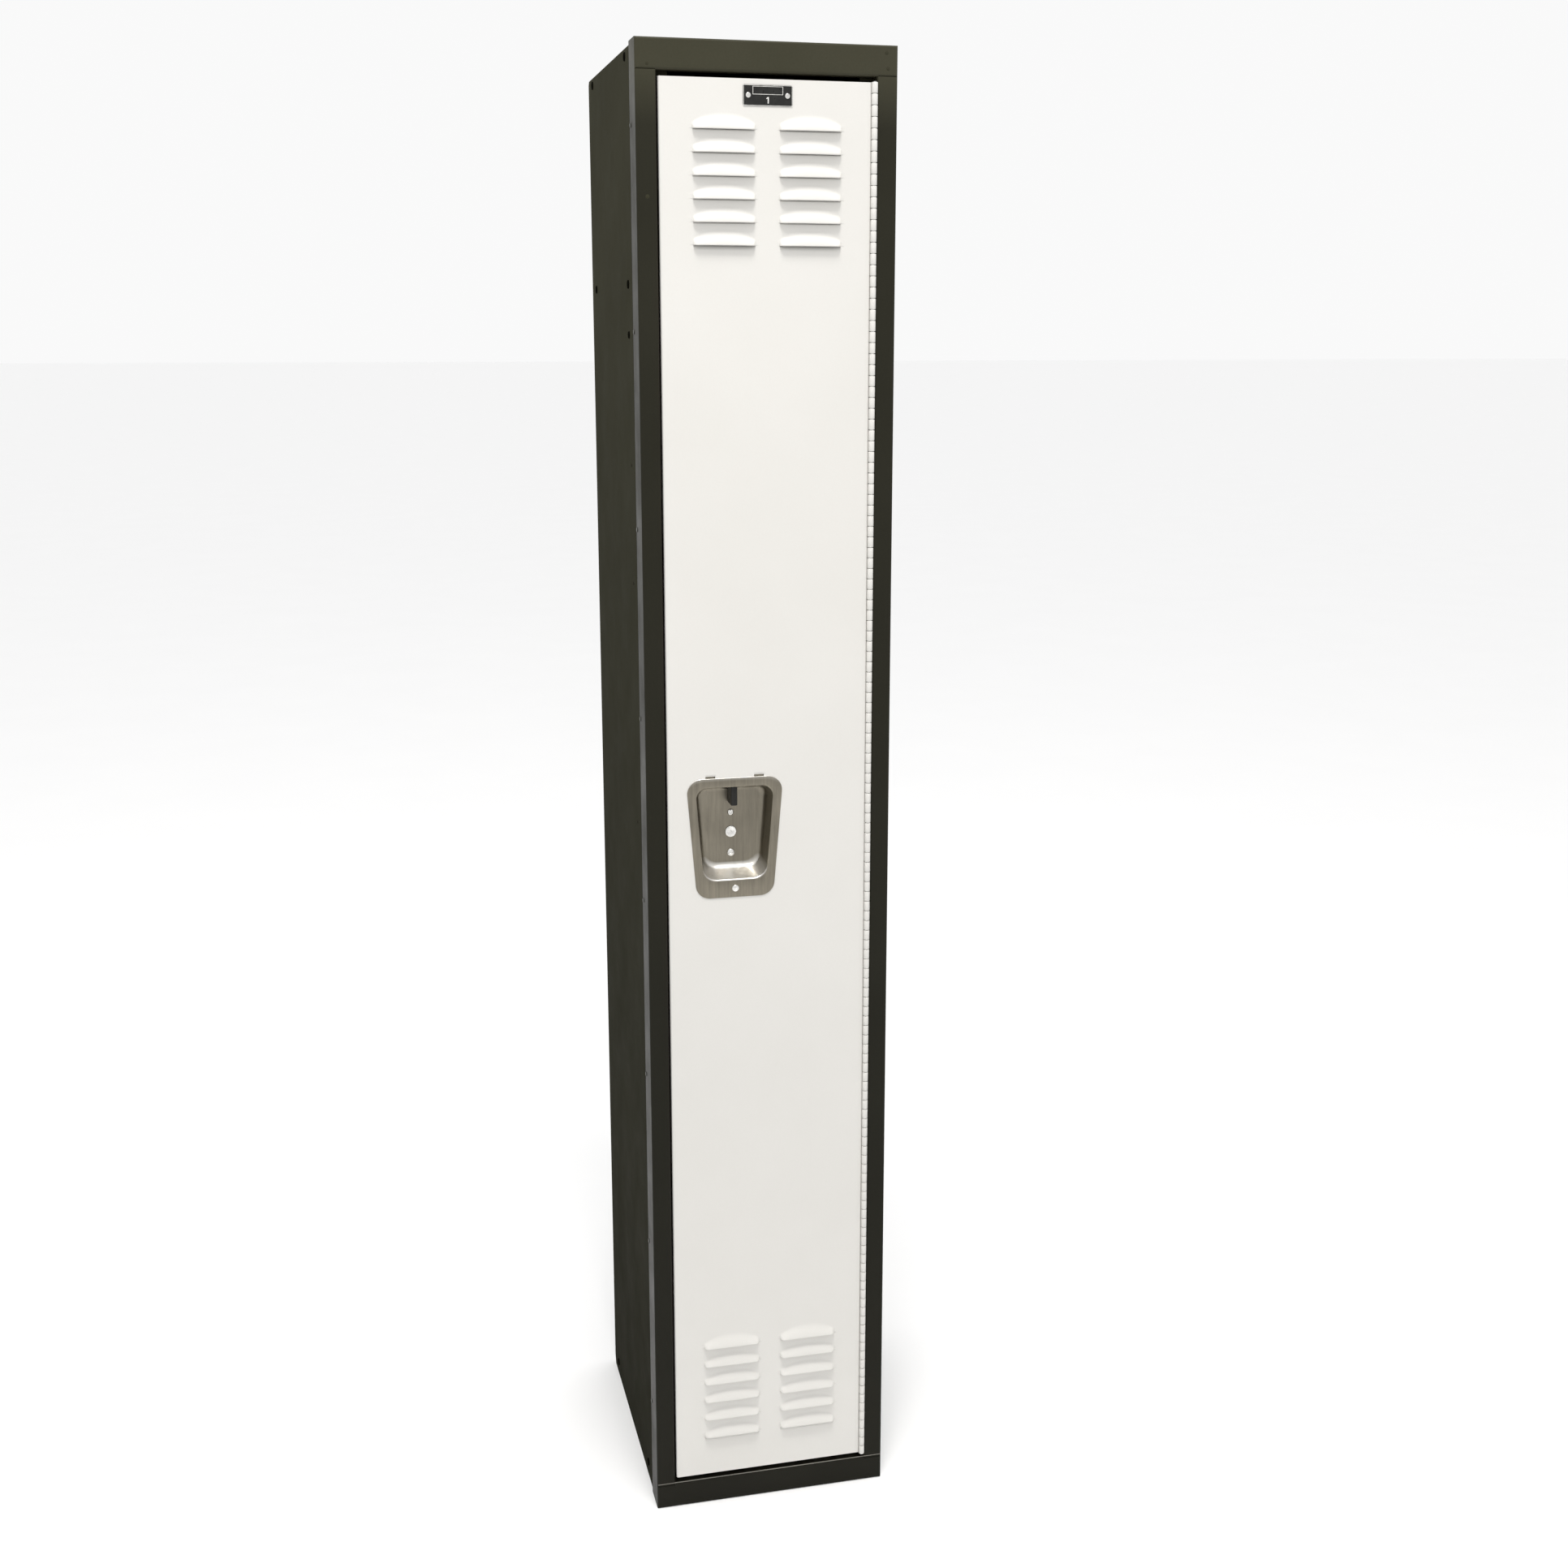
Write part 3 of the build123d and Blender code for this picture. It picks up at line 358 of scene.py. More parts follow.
# ---- door skin -----------------------------------------------------------------------
door_gauge = 1.5 * MM
door_bend = 2.5 * MM
louver_depth = face_y - door_lo.y
louver_half = 36.5 * MM
louver_height = 18.2 * MM
louver_end_height = 7.5 * MM
louver_end_round = 6.0 * MM
louver_pitch = 25.4 * MM
louver_rows = 6
arch_power = 2.3                           # how squarely a hood's upper outline turns down
end_flatten = 0.35                         # how much lower a hood's ends are at its top
fall_power = 1.25                          # how long a hood stays proud before it falls back
louver_column_x = (-51.9 * MM, 49.3 * MM)
upper_lip_z = door_hi.z - 57.5 * MM
lower_lip_z = door_lo.z + 183.5 * MM
lip_gap = 0.2 * MM
lips = [
    bank - louver_pitch * row for bank in (upper_lip_z, lower_lip_z) for row in range(louver_rows)
]

pocket_x = (pocket_lo.x + pocket_hi.x) / 2
cutout_gap = 1.6 * MM
tab_x = (pocket_x - 30.2 * MM, pocket_x + 30.2 * MM)
tab_half = 5.75 * MM
tab_z = pocket_hi.z - 4.1 * MM
# the pocket's mouth and flange: half widths at top and bottom, heights, corner radius
mouth = {"top": 48.3 * MM, "bottom": 39.3 * MM, "high": 0.969, "low": 0.853, "corner": 13 * MM}
flange = {"top": 60.5 * MM, "bottom": 48 * MM, "high": 0.981, "low": 0.830, "corner": 18 * MM}
hole_notch_half = 5.6 * MM


def hood_height(u, v):
    """How far a hood stands out, u from its middle and v above its lip."""
    half = louver_half
    if abs(u) >= half or v < 0:
        return 0.0
    rise = 1 - (abs(u) / half) ** arch_power
    arch = louver_end_height + (louver_height - louver_end_height) * rise
    s = v / arch
    if s >= 1:
        return 0.0
    t = min(1, (half - abs(u)) / louver_end_round)
    end = math.sqrt(1 - (1 - t) ** 2)
    end = end * (1 - end_flatten * s)
    fall = 0.5 * (1 + math.cos(math.pi * s ** fall_power))
    return louver_depth * end * fall


def stations(breaks, steps):
    """Ordered stations that divide each stretch between breaks into equal steps."""
    result = []
    for low, high, count in zip(breaks, breaks[1:], steps):
        result += [low + (high - low) * i / count for i in range(count)]
    return result + [breaks[-1]]


def door_stations():
    """Grid lines across and up the skin, fine over the louvres and the pocket."""
    edge = door_bend
    x_breaks = [door_lo.x + edge]
    x_steps = [6]
    for x in louver_column_x:
        x_breaks += [
            x - louver_half, x - louver_half + louver_end_round,
            x + louver_half - louver_end_round, x + louver_half,
        ]
        x_steps += [9, 26, 9, 8]
    x_breaks.append(door_hi.x - edge)
    z_breaks = [door_lo.z + edge]
    z_steps = []
    for lip in sorted(lips):
        if lip - z_breaks[-1] > 2 * louver_pitch:
            z_steps.append(max(2, round((lip - lip_gap - z_breaks[-1]) / (6 * MM))))
        else:
            z_steps.append(4)
        z_breaks += [lip - lip_gap, lip, lip + louver_height]
        z_steps += [1, 16]
    z_steps.append(6)
    z_breaks.append(door_hi.z - edge)
    xs = stations(x_breaks, x_steps[:len(x_breaks) - 1])
    zs = stations(z_breaks, z_steps)
    for x in tab_x:
        xs += [x - tab_half - 0.3 * MM, x + tab_half + 0.3 * MM]
    zs += [tab_z - 1.0 * MM, tab_z + 1.5 * MM]
    return sorted(xs), sorted(zs)


def trapezium(top, bottom, high, low, corner_top, corner_bottom, slot_half, arc=10, side=8):
    """Points round a rounded trapezium centred on X = 0, from the top middle clockwise."""
    corners = [(top, high, corner_top), (bottom, low, corner_bottom),
               (-bottom, low, corner_bottom), (-top, high, corner_top)]
    tilt = math.atan2(top - bottom, high - low)
    turns = [(math.pi / 2, -tilt), (-tilt, -math.pi / 2),
             (-math.pi / 2, -math.pi + tilt), (math.pi + tilt, math.pi / 2)]
    arcs = []
    for (x, z, r), (start, stop) in zip(corners, turns):
        inward = Vector((-math.copysign(1, x), -1 if z == high else 1))
        centre_z = z + inward.y * r
        edge_x = math.copysign(abs(x) + (top - bottom) * (centre_z - z) / (high - low), x)
        centre_x = edge_x - math.copysign(r / math.cos(tilt), x)
        arcs.append([
            (centre_x + r * math.cos(a), centre_z + r * math.sin(a))
            for a in (start + (stop - start) * i / arc for i in range(arc + 1))
        ])
    points = [(slot_half, high), ((slot_half + arcs[0][0][0]) / 2, high)]
    points += arcs[0]
    for first, second, count in ((0, 1, side), (1, 2, side), (2, 3, side)):
        a, b = arcs[first][-1], arcs[second][0]
        points += [
            (a[0] + (b[0] - a[0]) * i / count, a[1] + (b[1] - a[1]) * i / count)
            for i in range(1, count)
        ]
        points += arcs[second]
    points += [((-slot_half + arcs[3][-1][0]) / 2, high), (-slot_half, high)]
    return points


def pocket_hole():
    """The outline of the skin's hole behind the pocket's mouth, centred on X = 0."""
    return trapezium(
        mouth["top"] + cutout_gap, mouth["bottom"] + cutout_gap,
        mouth["high"] + cutout_gap, mouth["low"] - cutout_gap,
        mouth["corner"], mouth["corner"], hole_notch_half,
    )


def inside(points, x, z):
    """Whether a point lies inside a closed outline."""
    hit = False
    for (x1, z1), (x2, z2) in zip(points, points[1:] + points[:1]):
        if (z1 > z) != (z2 > z) and x < (x2 - x1) * (z - z1) / (z2 - z1) + x1:
            hit = not hit
    return hit


def to_outline(points, centre, x, z):
    """The outline's point in the same direction from the centre."""
    dx, dz = x - centre[0], z - centre[1]
    best = None
    for (x1, z1), (x2, z2) in zip(points, points[1:] + points[:1]):
        ex, ez = x2 - x1, z2 - z1
        cross = dx * ez - dz * ex
        if abs(cross) < 1e-12:
            continue
        t = ((x1 - centre[0]) * ez - (z1 - centre[1]) * ex) / cross
        s = ((x1 - centre[0]) * dz - (z1 - centre[1]) * dx) / cross
        if t > 0 and 0 <= s <= 1 and (best is None or t < best):
            best = t
    return centre[0] + dx * best, centre[1] + dz * best


def make_door():
    """The door: louvred skin, rolled edges and side folds, cut out for the pocket."""
    xs, zs = door_stations()
    hole = [(x + pocket_x, z) for x, z in pocket_hole()]
    middle = (pocket_x, (mouth["high"] + mouth["low"]) / 2)
    bm = bmesh.new()
    grid = []
    for z in zs:
        row = []
        for x in xs:
            proud = 0.0
            for lip in lips:
                if -1e-9 <= z - lip < louver_height:
                    for column in louver_column_x:
                        proud = max(proud, hood_height(x - column, z - lip))
            row.append(bm.verts.new((x, face_y - proud, z)))
        grid.append(row)
    cut = set()
    for r in range(len(zs) - 1):
        slit = any(abs(zs[r + 1] - lip) < 1e-9 for lip in lips)
        for c in range(len(xs) - 1):
            x, z = (xs[c] + xs[c + 1]) / 2, (zs[r] + zs[r + 1]) / 2
            open_lip = slit and any(
                abs(x - column) < louver_half - 0.3 * MM for column in louver_column_x
            )
            corners = (grid[r][c], grid[r][c + 1], grid[r + 1][c + 1], grid[r + 1][c])
            tab_slot = abs(z - tab_z - 0.2 * MM) < 1.2 * MM and any(
                abs(x - tab) < tab_half + 0.2 * MM for tab in tab_x
            )
            if open_lip or tab_slot:
                continue
            if mouth["low"] - 0.02 < z < mouth["high"] + 0.02 and inside(hole, x, z):
                cut.update(corners)
                continue
            bm.faces.new(corners)
    for vert in cut:
        if vert.link_faces:
            vert.co.x, vert.co.z = to_outline(hole, middle, vert.co.x, vert.co.z)
        else:
            bm.verts.remove(vert)
    # rolled edge and sides, carried round the rim of the grid
    rim = [grid[0][c] for c in range(len(xs))]
    rim += [grid[r][-1] for r in range(1, len(zs))]
    rim += [grid[-1][c] for c in range(len(xs) - 2, -1, -1)]
    rim += [grid[r][0] for r in range(len(zs) - 2, 0, -1)]
    last = rim
    steps = [(math.sin(a), 1 - math.cos(a)) for a in (math.radians(18 * i) for i in range(1, 6))]
    depths = [(door_bend * out, door_bend * back) for out, back in steps]
    depths.append((door_bend, door_rear_y - face_y))
    low_x, high_x, low_z, high_z = xs[0], xs[-1], zs[0], zs[-1]
    for out, back in depths:
        loop = []
        for vert in rim:
            x, z = vert.co.x, vert.co.z
            step_x = (x >= high_x - 1e-9) - (x <= low_x + 1e-9)
            step_z = (z >= high_z - 1e-9) - (z <= low_z + 1e-9)
            reach = out * (0.86 if step_x and step_z else 1)
            loop.append(bm.verts.new((x + reach * step_x, face_y + back, z + reach * step_z)))
        bridge(bm, last, loop)
        last = loop
    door = finished(bm, "door_skin", "door", door_paint, ("door_panel",), sharp=55)
    thicken(door, door_gauge)


# ---- door folds ----------------------------------------------------------------------
hook_nodes = ("lower_frame_hook", "middle_frame_hook", "upper_frame_hook")
fold_inset = 0.9 * MM                      # keeps the folds inside the skin's rolled edge
latch_fold = 26 * MM                       # reach of the fold on the latch side
plain_fold = 12 * MM                       # reach of the other three folds
notch_half = 3.5 * MM
notch_shift = 0.5 * MM
notch_middle = 14 * MM                     # above a hook's foot
notch_below = 9 * MM
notch_above = 19 * MM


def make_door_folds():
    """The folds that turn in behind the skin; the latch side's is notched for the hooks."""
    back, front = door_rear_y, door_rear_y - door_gauge
    left, right = door_lo.x + fold_inset, door_hi.x - fold_inset
    low, high = door_lo.z + fold_inset, door_hi.z - fold_inset
    latch_in, fold_in = latch_fold - fold_inset, plain_fold - fold_inset
    bm = bmesh.new()
    hooks = [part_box(node) for node in hook_nodes]
    notch_x = (hooks[0][0].x + hooks[0][1].x) / 2 + notch_shift
    notch = (notch_x - notch_half, notch_x + notch_half)
    add_box(bm, (left, front, low), (notch[0], back, high))
    add_box(bm, (notch[1], front, low), (left + latch_in, back, high))
    z = low
    for hook_lo, _ in hooks:
        centre = hook_lo.z + notch_middle
        add_box(bm, (notch[0], front, z), (notch[1], back, centre - notch_below))
        z = centre + notch_above
    add_box(bm, (notch[0], front, z), (notch[1], back, high))
    add_box(bm, (right - fold_in, front, low), (right, back, high))
    for z0, z1 in ((low, low + fold_in), (high - fold_in, high)):
        add_box(bm, (left + latch_in, front, z0), (right - fold_in, back, z1))
    finished(bm, "door_folds", "door", door_paint, smooth=False)


make_door()
make_door_folds()


# ---- handle pocket -------------------------------------------------------------------
cup_depth = 26 * MM
cup_lean = 4 * MM                          # how far the walls lean in over the depth
cup_rise = 10 * MM                         # how far the sloped floor rises over the depth
cup_gauge = 0.9 * MM
pocket_gauge = 1.0 * MM
mouth_roll = 1.6 * MM
floor_turn = 6.5 * MM                      # bend between the walls and the back
back_corner_growth = 5 * MM
wall_depths = (2.2 * MM, 8 * MM, 14 * MM, 19.5 * MM)
slot_half = 4.8 * MM
roof_height = 0.955                        # faces above this are the pocket's roof


def make_pocket():
    """The drawn stainless pocket: flat flange, rolled mouth, leaning walls, sloped floor."""
    bm = bmesh.new()

    def loop(top, bottom, high, low, corner_top, corner_bottom, y):
        points = trapezium(top, bottom, high, low, corner_top, corner_bottom, slot_half)
        return [bm.verts.new((pocket_x + x, y, z)) for x, z in points]

    def flange_loop(inset, y):
        corner = flange["corner"] - inset
        return loop(
            flange["top"] - inset, flange["bottom"] - inset,
            flange["high"] - inset, flange["low"] + inset, corner, corner, y,
        )

    def cup_loop(shrink, depth):
        lean = cup_lean * depth / cup_depth
        rise = cup_rise * depth / cup_depth
        return loop(
            mouth["top"] - lean - shrink, mouth["bottom"] - lean - shrink,
            mouth["high"] - lean - shrink, mouth["low"] + rise + shrink,
            mouth["corner"] - shrink * 0.5,
            mouth["corner"] + back_corner_growth - shrink * 0.5, face_y + depth,
        )

    front_y = face_y - pocket_gauge
    loops = [
        flange_loop(0, face_y - 0.05 * MM),
        flange_loop(0, front_y + 0.5 * MM),
        flange_loop(0.15 * MM, front_y + 0.18 * MM),
        flange_loop(0.5 * MM, front_y),
    ]
    for degrees in (0, 22, 45, 68, 90):
        a = math.radians(degrees)
        grow = mouth_roll * (1 - math.sin(a))
        loops.append(cup_loop(-grow, -pocket_gauge + mouth_roll * (1 - math.cos(a))))
    for depth in wall_depths:
        loops.append(cup_loop(0, depth))
    for degrees in (12, 26, 40, 54, 68, 80, 90):
        a = math.radians(degrees)
        depth = cup_depth - floor_turn + floor_turn * math.sin(a)
        loops.append(cup_loop(floor_turn * (1 - math.cos(a)), depth))
    for inner, outer in zip(loops, loops[1:]):
        bridge(bm, inner, outer)
    bm.faces.new(loops[-1])
    # slot in the roof for the trigger
    roof = [
        face for face in bm.faces
        if all(abs(v.co.x - pocket_x) < slot_half + 0.1 * MM for v in face.verts)
        and face.calc_center_median().z > roof_height
        and wall_depths[0] <= face.calc_center_median().y - face_y < cup_depth - 1.5 * MM
    ]
    bmesh.ops.delete(bm, geom=roof, context="FACES")
    cup = finished(
        bm, "pocket_cup", "door", stainless, ("handle_pocket",), sharp=50
    )
    thicken(cup, cup_gauge)


def make_pocket_tabs():
    """Two tabs at the flange's top edge that hook behind the door's skin."""
    bm = bmesh.new()
    behind = face_y + 2.2 * MM
    under, over, tip = tab_z - 1.2 * MM, tab_z - 0.2 * MM, tab_z + 4.3 * MM
    for x in tab_x:
        left, right = x - tab_half, x + tab_half
        add_box(bm, (left, face_y - 0.4 * MM, under), (right, behind, over))
        add_box(bm, (left, behind, under), (right, behind + 1 * MM, tip))
    finished(bm, "pocket_tabs", "door", stainless, smooth=False)


make_pocket()
make_pocket_tabs()


# ---- screws and lock cover -----------------------------------------------------------
flange_head = 1.8 * MM                     # height of the head on the pocket's flange
back_head = 2.6 * MM                       # height of the heads on the pocket's back
recess_depth = 1.1 * MM
shank_radius = 2 * MM
cover_height = 1.7 * MM


def turned_head(bm, centre, radius, height, profile, cut=None, depth=0.0, rings=30, around=96):
    """A round head facing -Y; profile gives its height at a share of the radius."""
    x0, y0, z0 = centre
    rows = []
    for ring in range(1, rings + 1):
        share = ring / rings
        row = []
        for step in range(around):
            a = 2 * math.pi * step / around
            dx, dz = radius * share * math.cos(a), radius * share * math.sin(a)
            rise = height * profile(share)
            if cut:
                rise -= depth * cut(dx / radius, dz / radius)
            row.append(bm.verts.new((x0 + dx, y0 - rise, z0 + dz)))
        rows.append(row)
    tip = height * profile(0) - (depth * cut(0, 0) if cut else 0)
    middle = bm.verts.new((x0, y0 - tip, z0))
    for step in range(around):
        bm.faces.new((middle, rows[0][step], rows[0][(step + 1) % around]))
    for inner, outer in zip(rows, rows[1:]):
        bridge(bm, inner, outer)
    base = [bm.verts.new((v.co.x, y0 + 0.3 * MM, v.co.z)) for v in rows[-1]]
    bridge(bm, rows[-1], base)
    bm.faces.new(base)


def dome(share):
    """A pan head: gently domed with a tight rounded rim."""
    return 0.25 + 0.55 * (1 - share ** 2) + 0.2 * math.sqrt(max(0, 1 - share ** 8))


def dished(share):
    """A disc with a raised rim, a dished middle and a small pip."""
    rim = math.sqrt(max(0, 1 - max(0, (share - 0.8) / 0.2) ** 2))
    bowl = 0.55 * smoothstep((0.78 - share) / 0.6)
    pip = 0.3 * smoothstep((0.16 - share) / 0.1)
    return 0.15 + 0.85 * rim - bowl + pip


def cross_cut(turn):
    """A Phillips recess, turned by an angle."""
    c, s = math.cos(turn), math.sin(turn)

    def cut(u, w):
        a, b = u * c + w * s, w * c - u * s
        deep = 0.0
        for along, across in ((a, b), (b, a)):
            side = smoothstep((0.19 - abs(across)) / 0.08)
            end = smoothstep((0.62 - abs(along)) / 0.35)
            deep = max(deep, side * end)
        return deep

    return cut


def slot_cut(turn):
    """A single straight driver slot, turned by an angle."""
    c, s = math.cos(turn), math.sin(turn)

    def cut(u, w):
        return smoothstep((0.13 - abs(w * c - u * s)) / 0.06) * (abs(u * c + w * s) < 0.96)

    return cut


def solid_boxes(node):
    """The low and high corners of a node's separate solids, lowest first."""
    mesh = frame["nodes"][node].data
    matrix = frame["nodes"][node].matrix_world
    bm = bmesh.new()
    bm.from_mesh(mesh)
    bmesh.ops.remove_doubles(bm, verts=bm.verts, dist=1e-7)
    left, spans = set(bm.verts), []
    while left:
        stack = [left.pop()]
        found = list(stack)
        while stack:
            for edge in stack.pop().link_edges:
                for vert in edge.verts:
                    if vert in left:
                        left.discard(vert)
                        stack.append(vert)
                        found.append(vert)
        points = [matrix @ vert.co for vert in found]
        low = Vector(min(p[i] for p in points) for i in range(3))
        high = Vector(max(p[i] for p in points) for i in range(3))
        spans.append((low, high))
    bm.free()
    return sorted(spans, key=lambda span: span[0].z)


def make_pocket_hardware():
    """Driver-cut screw heads and the dished cover over the lock hole."""
    heads = (
        (cross_cut(0.35), flange_head), (slot_cut(0.12), back_head), (cross_cut(0.62), back_head),
    )
    bm = bmesh.new()
    for (low, high), (cut, height) in zip(solid_boxes("pocket_screws"), heads):
        radius = (high.x - low.x) / 2
        centre = ((low.x + high.x) / 2, low.y + height, (low.z + high.z) / 2)
        turned_head(bm, centre, radius, height, dome, cut, recess_depth)
        bmesh.ops.create_cone(
            bm, cap_ends=True, segments=24, radius1=shank_radius, radius2=shank_radius,
            depth=high.y - centre[1],
            matrix=Matrix.Translation((centre[0], (high.y + centre[1]) / 2, centre[2]))
            @ Matrix.Rotation(math.pi / 2, 4, "X"),
        )
    finished(
        bm, "driver_screws", "door", bright_steel, ("pocket_screws",), sharp=60
    )
    low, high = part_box("lock_hole_cover")
    bm = bmesh.new()
    radius = (high.x - low.x) / 2
    centre = ((low.x + high.x) / 2, low.y + cover_height, (low.z + high.z) / 2)
    turned_head(bm, centre, radius, cover_height, dished)
    finished(
        bm, "dished_cover", "door", bright_steel, ("lock_hole_cover",), sharp=60
    )


make_pocket_hardware()


# ---- number plate --------------------------------------------------------------------
plate_line = 0.5 * MM
plate_corner = 1.2 * MM
maker_frame = (17.6 * MM, 4.5 * MM)        # half sizes of the blank maker's frame


def ring_line(bm, centre, half_x, half_z, line, back, front):
    """A thin raised rectangle outline made of four bars."""
    x, z = centre
    for low, high in (
        ((x - half_x, z + half_z - line), (x + half_x, z + half_z)),
        ((x - half_x, z - half_z), (x + half_x, z - half_z + line)),
        ((x - half_x, z - half_z + line), (x - half_x + line, z + half_z - line)),
        ((x + half_x - line, z - half_z + line), (x + half_x, z + half_z - line)),
    ):
        add_box(bm, (low[0], front, low[1]), (high[0], back, high[1]))


def make_plate():
    """The enamelled plate, its bare border, a blank maker's frame and the number 1."""
    centre = ((plate_lo.x + plate_hi.x) / 2, (plate_lo.z + plate_hi.z) / 2)
    half_x, half_z = (plate_hi.x - plate_lo.x) / 2, (plate_hi.z - plate_lo.z) / 2
    bm = bmesh.new()
    add_box(
        bm, (plate_lo.x, plate_lo.y + 0.06 * MM, plate_lo.z), (plate_hi.x, plate_hi.y, plate_hi.z)
    )
    upright = [
        e for e in bm.edges if abs(e.verts[0].co.y - e.verts[1].co.y) > 0.3 * MM
    ]
    bmesh.ops.bevel(bm, geom=upright, offset=plate_corner, segments=5, affect="EDGES")
    plate = finished(bm, "enamel_plate", "door", plate_black, ("number_plate",))
    soft = plate.modifiers.new("edge", "BEVEL")
    soft.width = 0.12 * MM
    soft.segments = 2
    bm = bmesh.new()
    back, front = plate_lo.y + 0.1 * MM, plate_lo.y
    ring_line(bm, centre, half_x - 0.3 * MM, half_z - 0.3 * MM, plate_line, back, front)
    upper = (centre[0], centre[1] + 5.4 * MM)
    ring_line(bm, upper, *maker_frame, plate_line, back, front)
    # the digit: a stem and its flag
    x, z = centre[0] + 0.4 * MM, centre[1] - 5.2 * MM
    stem, tall = 0.65 * MM, 3.5 * MM
    add_box(bm, (x - stem, front, z - tall), (x + stem, back, z + tall))
    flag = [
        (x - stem, z + tall), (x - 2.1 * MM, z + 2.2 * MM),
        (x - 2.1 * MM, z + 1.1 * MM), (x - stem, z + 2.1 * MM),
    ]
    near = [bm.verts.new((u, front, w)) for u, w in flag]
    far = [bm.verts.new((u, back, w)) for u, w in flag]
    bm.faces.new(near)
    bm.faces.new(far)
    bridge(bm, near, far)
    finished(bm, "plate_lines", "door", plate_silver, smooth=False)


make_plate()


# ---- continuous hinge ----------------------------------------------------------------
knuckle_count = 138
knuckle_joint = 0.75 * MM
knuckle_round = 0.45 * MM
knuckle_sides = 28
leaf_gauge = 1.2 * MM
leaf_edge = 4 * MM                         # depth at which the knuckles meet the flat leaf


def make_hinge_leaf(node, body, first):
    """A hinge leaf with rounded knuckles in every other place."""
    low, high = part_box(node)
    pin_lo, pin_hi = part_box("hinge_pin")
    axis_x, radius = (pin_lo.x + pin_hi.x) / 2, face_y - low.y
    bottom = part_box("hinge_door_leaf")[0].z
    pitch = (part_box("hinge_frame_leaf")[1].z - bottom) / knuckle_count
    near_low = low.x < axis_x - radius / 2
    leaf_x = (low.x, low.x + leaf_gauge) if near_low else (high.x - leaf_gauge, high.x)
    top = bottom + pitch * knuckle_count
    bm = bmesh.new()
    add_box(bm, (leaf_x[0], face_y + leaf_edge, bottom), (leaf_x[1], high.y, top))
    for row in range(first, knuckle_count, 2):
        z0 = bottom + pitch * row + knuckle_joint / 2
        z1 = bottom + pitch * (row + 1) - knuckle_joint / 2
        profile = [
            (radius - knuckle_round, z0), (radius - 0.3 * knuckle_round, z0 + 0.3 * knuckle_round),
            (radius, z0 + knuckle_round), (radius, z1 - knuckle_round),
            (radius - 0.3 * knuckle_round, z1 - 0.3 * knuckle_round), (radius - knuckle_round, z1),
        ]
        loops = [
            [
                bm.verts.new((
                    axis_x + r * math.cos(2 * math.pi * i / knuckle_sides),
                    face_y + r * math.sin(2 * math.pi * i / knuckle_sides), z,
                ))
                for i in range(knuckle_sides)
            ]
            for r, z in profile
        ]
        for inner, outer in zip(loops, loops[1:]):
            bridge(bm, inner, outer)
        bm.faces.new(loops[0])
        bm.faces.new(loops[-1])
        add_box(bm, (leaf_x[0], face_y, z0), (leaf_x[1], face_y + leaf_edge + 0.1 * MM, z1))
    finished(bm, node + "_knuckles", body, door_paint, (node,), sharp=50)


make_hinge_leaf("hinge_door_leaf", "door", 0)
make_hinge_leaf("hinge_frame_leaf", "cabinet", 1)


# ---- marks, painted shade and painted highlight on the cabinet -----------------------
weld_height = 0.35 * MM
seam_shade_width = 10 * MM
seam_shade_inset = 4 * MM                       # kept clear at the floor and the top
sill_highlight_width = 0.8 * MM


def make_weld_marks():
    """Faint witness marks where the top rail is welded over the uprights."""
    rail_lo, rail_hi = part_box("top_rail")
    right = rail_hi.x
    marks = [
        (right - 13.6 * MM, rail_hi.z - 8.8 * MM, 2.2 * MM),
        (right - 11.8 * MM, rail_hi.z - 25.8 * MM, 2.2 * MM),
        (rail_lo.x + 13.6 * MM, rail_hi.z - 28.8 * MM, 1.8 * MM),
        (rail_lo.x + 12.4 * MM, rail_hi.z - 170.8 * MM, 2.4 * MM),
    ]
    bm = bmesh.new()
    for x, z, radius in marks:
        turned_head(
            bm, (x, face_y, z), radius, weld_height, lambda share: (1 - share ** 2) ** 2,
            rings=10, around=40,
        )
    finished(bm, "weld_marks", "cabinet", cabinet_paint)


def make_seam_shade_strips():
    """A near-black strip of painted shade where each side sheet tucks in behind the frame's
    flange.
    """
    bm = bmesh.new()
    start_y, stop_y = upright_hi.y, upright_hi.y + seam_shade_width
    for node in ("left_side_panel", "right_side_panel"):
        low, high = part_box(node)
        outer = low.x if abs(low.x) > abs(high.x) else high.x
        side = math.copysign(1, outer)
        left, right = sorted((outer - side * 0.1 * MM, outer + side * 0.08 * MM))
        # painted shade: a near-black strip on the side sheet just behind the flange
        add_box(bm, (left, start_y, seam_shade_inset), (right, stop_y, high.z - seam_shade_inset))
    finished(bm, "seam_shade_strips", "cabinet", seam_shade_and_bolt_paint, smooth=False)


def make_sill_edge_highlights():
    """A light line painted along the sill's upper edge as a highlight."""
    low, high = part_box("bottom_rail")
    bm = bmesh.new()
    # painted highlight: a light strip along the sill's upper edge
    add_box(
        bm,
        (low.x + 1 * MM, face_y - 0.06 * MM, high.z - 0.1 * MM - sill_highlight_width),
        (high.x - 1 * MM, face_y + 0.5 * MM, high.z - 0.1 * MM),
    )
    finished(bm, "sill_edge_highlights", "cabinet", sill_highlight_paint, smooth=False)


make_weld_marks()
make_seam_shade_strips()
make_sill_edge_highlights()


# ---- floor, light and camera ---------------------------------------------------------
studio_strength = 0.95
floor_half = 120
daylight = (1.0, 0.985, 0.96)
camera_place = (-0.511, -2.3665, 1.5029)
camera_down = 12.43                        # degrees below level
camera_turn = -13.65                       # degrees about Z, from looking along +Y


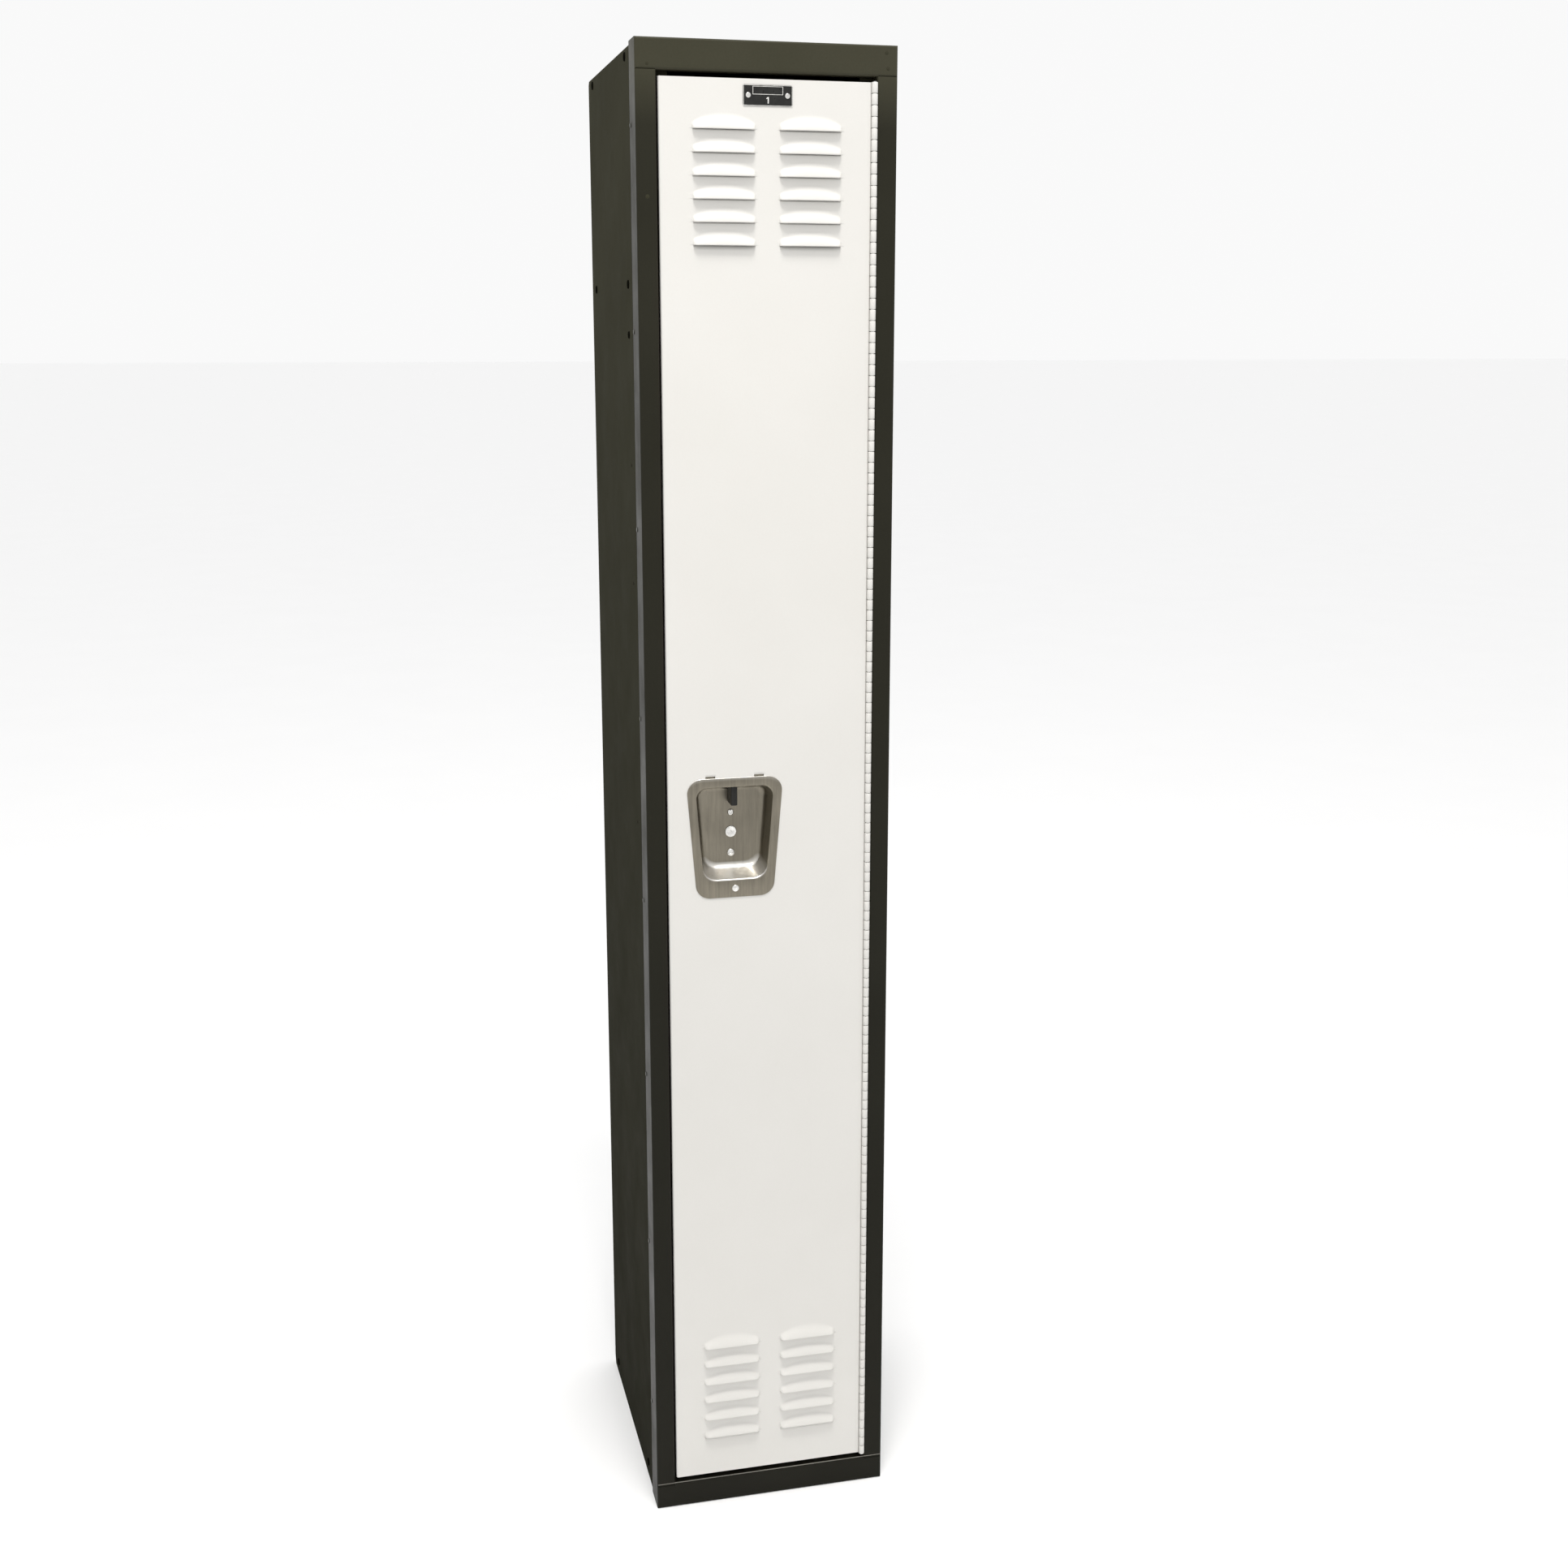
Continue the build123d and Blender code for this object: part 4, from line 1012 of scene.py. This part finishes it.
def make_floor():
    """A wide, almost white floor that fades into the background."""
    floor_shader = Shader("pale_floor", (0.9, 0.9, 0.9), roughness=0.85)
    floor_shader.color(
        floor_shader.ramp(floor_shader.noise(3, 3), [(0.3, 0.955), (0.7, 0.965)])
    )
    bm = bmesh.new()
    bmesh.ops.create_grid(bm, x_segments=1, y_segments=1, size=floor_half)
    mesh = bpy.data.meshes.new("floor")
    bm.to_mesh(mesh)
    bm.free()
    mesh.materials.append(floor_shader.material)
    floor = bpy.data.objects.new("floor", mesh)
    bpy.context.collection.objects.link(floor)


def soft_light(name, location, target, size, power, spread=180):
    """A rectangular area light that points at a target; spread in degrees."""
    lamp = bpy.data.lights.new(name, "AREA")
    lamp.shape = "RECTANGLE"
    lamp.size, lamp.size_y = size
    lamp.energy = power
    lamp.color = daylight
    lamp.spread = math.radians(spread)
    holder = bpy.data.objects.new(name, lamp)
    bpy.context.collection.objects.link(holder)
    holder.location = location
    aim = Vector(target) - Vector(location)
    holder.rotation_euler = aim.to_track_quat("-Z", "Y").to_euler()


def make_world():
    """An even white studio all round."""
    world = bpy.data.worlds.new("studio")
    bpy.context.scene.world = world
    world.use_nodes = True
    background = world.node_tree.nodes["Background"]
    background.inputs["Color"].default_value = (1, 1, 1, 1)
    background.inputs["Strength"].default_value = studio_strength


def make_camera():
    """The photo's view: from the left, a little above the middle, looking down."""
    data = bpy.data.cameras.new("camera")
    data.lens = 43.23
    data.sensor_width = 36
    data.shift_y = -0.02
    camera = bpy.data.objects.new("camera", data)
    bpy.context.collection.objects.link(camera)
    camera.location = camera_place
    camera.rotation_euler = (math.radians(90 - camera_down), 0, math.radians(camera_turn))
    bpy.context.scene.camera = camera


make_floor()
make_world()
soft_light("key", (-0.2, -1.3, 4.6), (0, -0.1, 0.9), (1.2, 0.8), 78)
soft_light("low_key", (-0.2, -1.15, 3.3), (0, -0.19, 0.15), (0.4, 0.4), 0.8, spread=36)
make_camera()
bpy.context.scene.view_settings.view_transform = "Standard"
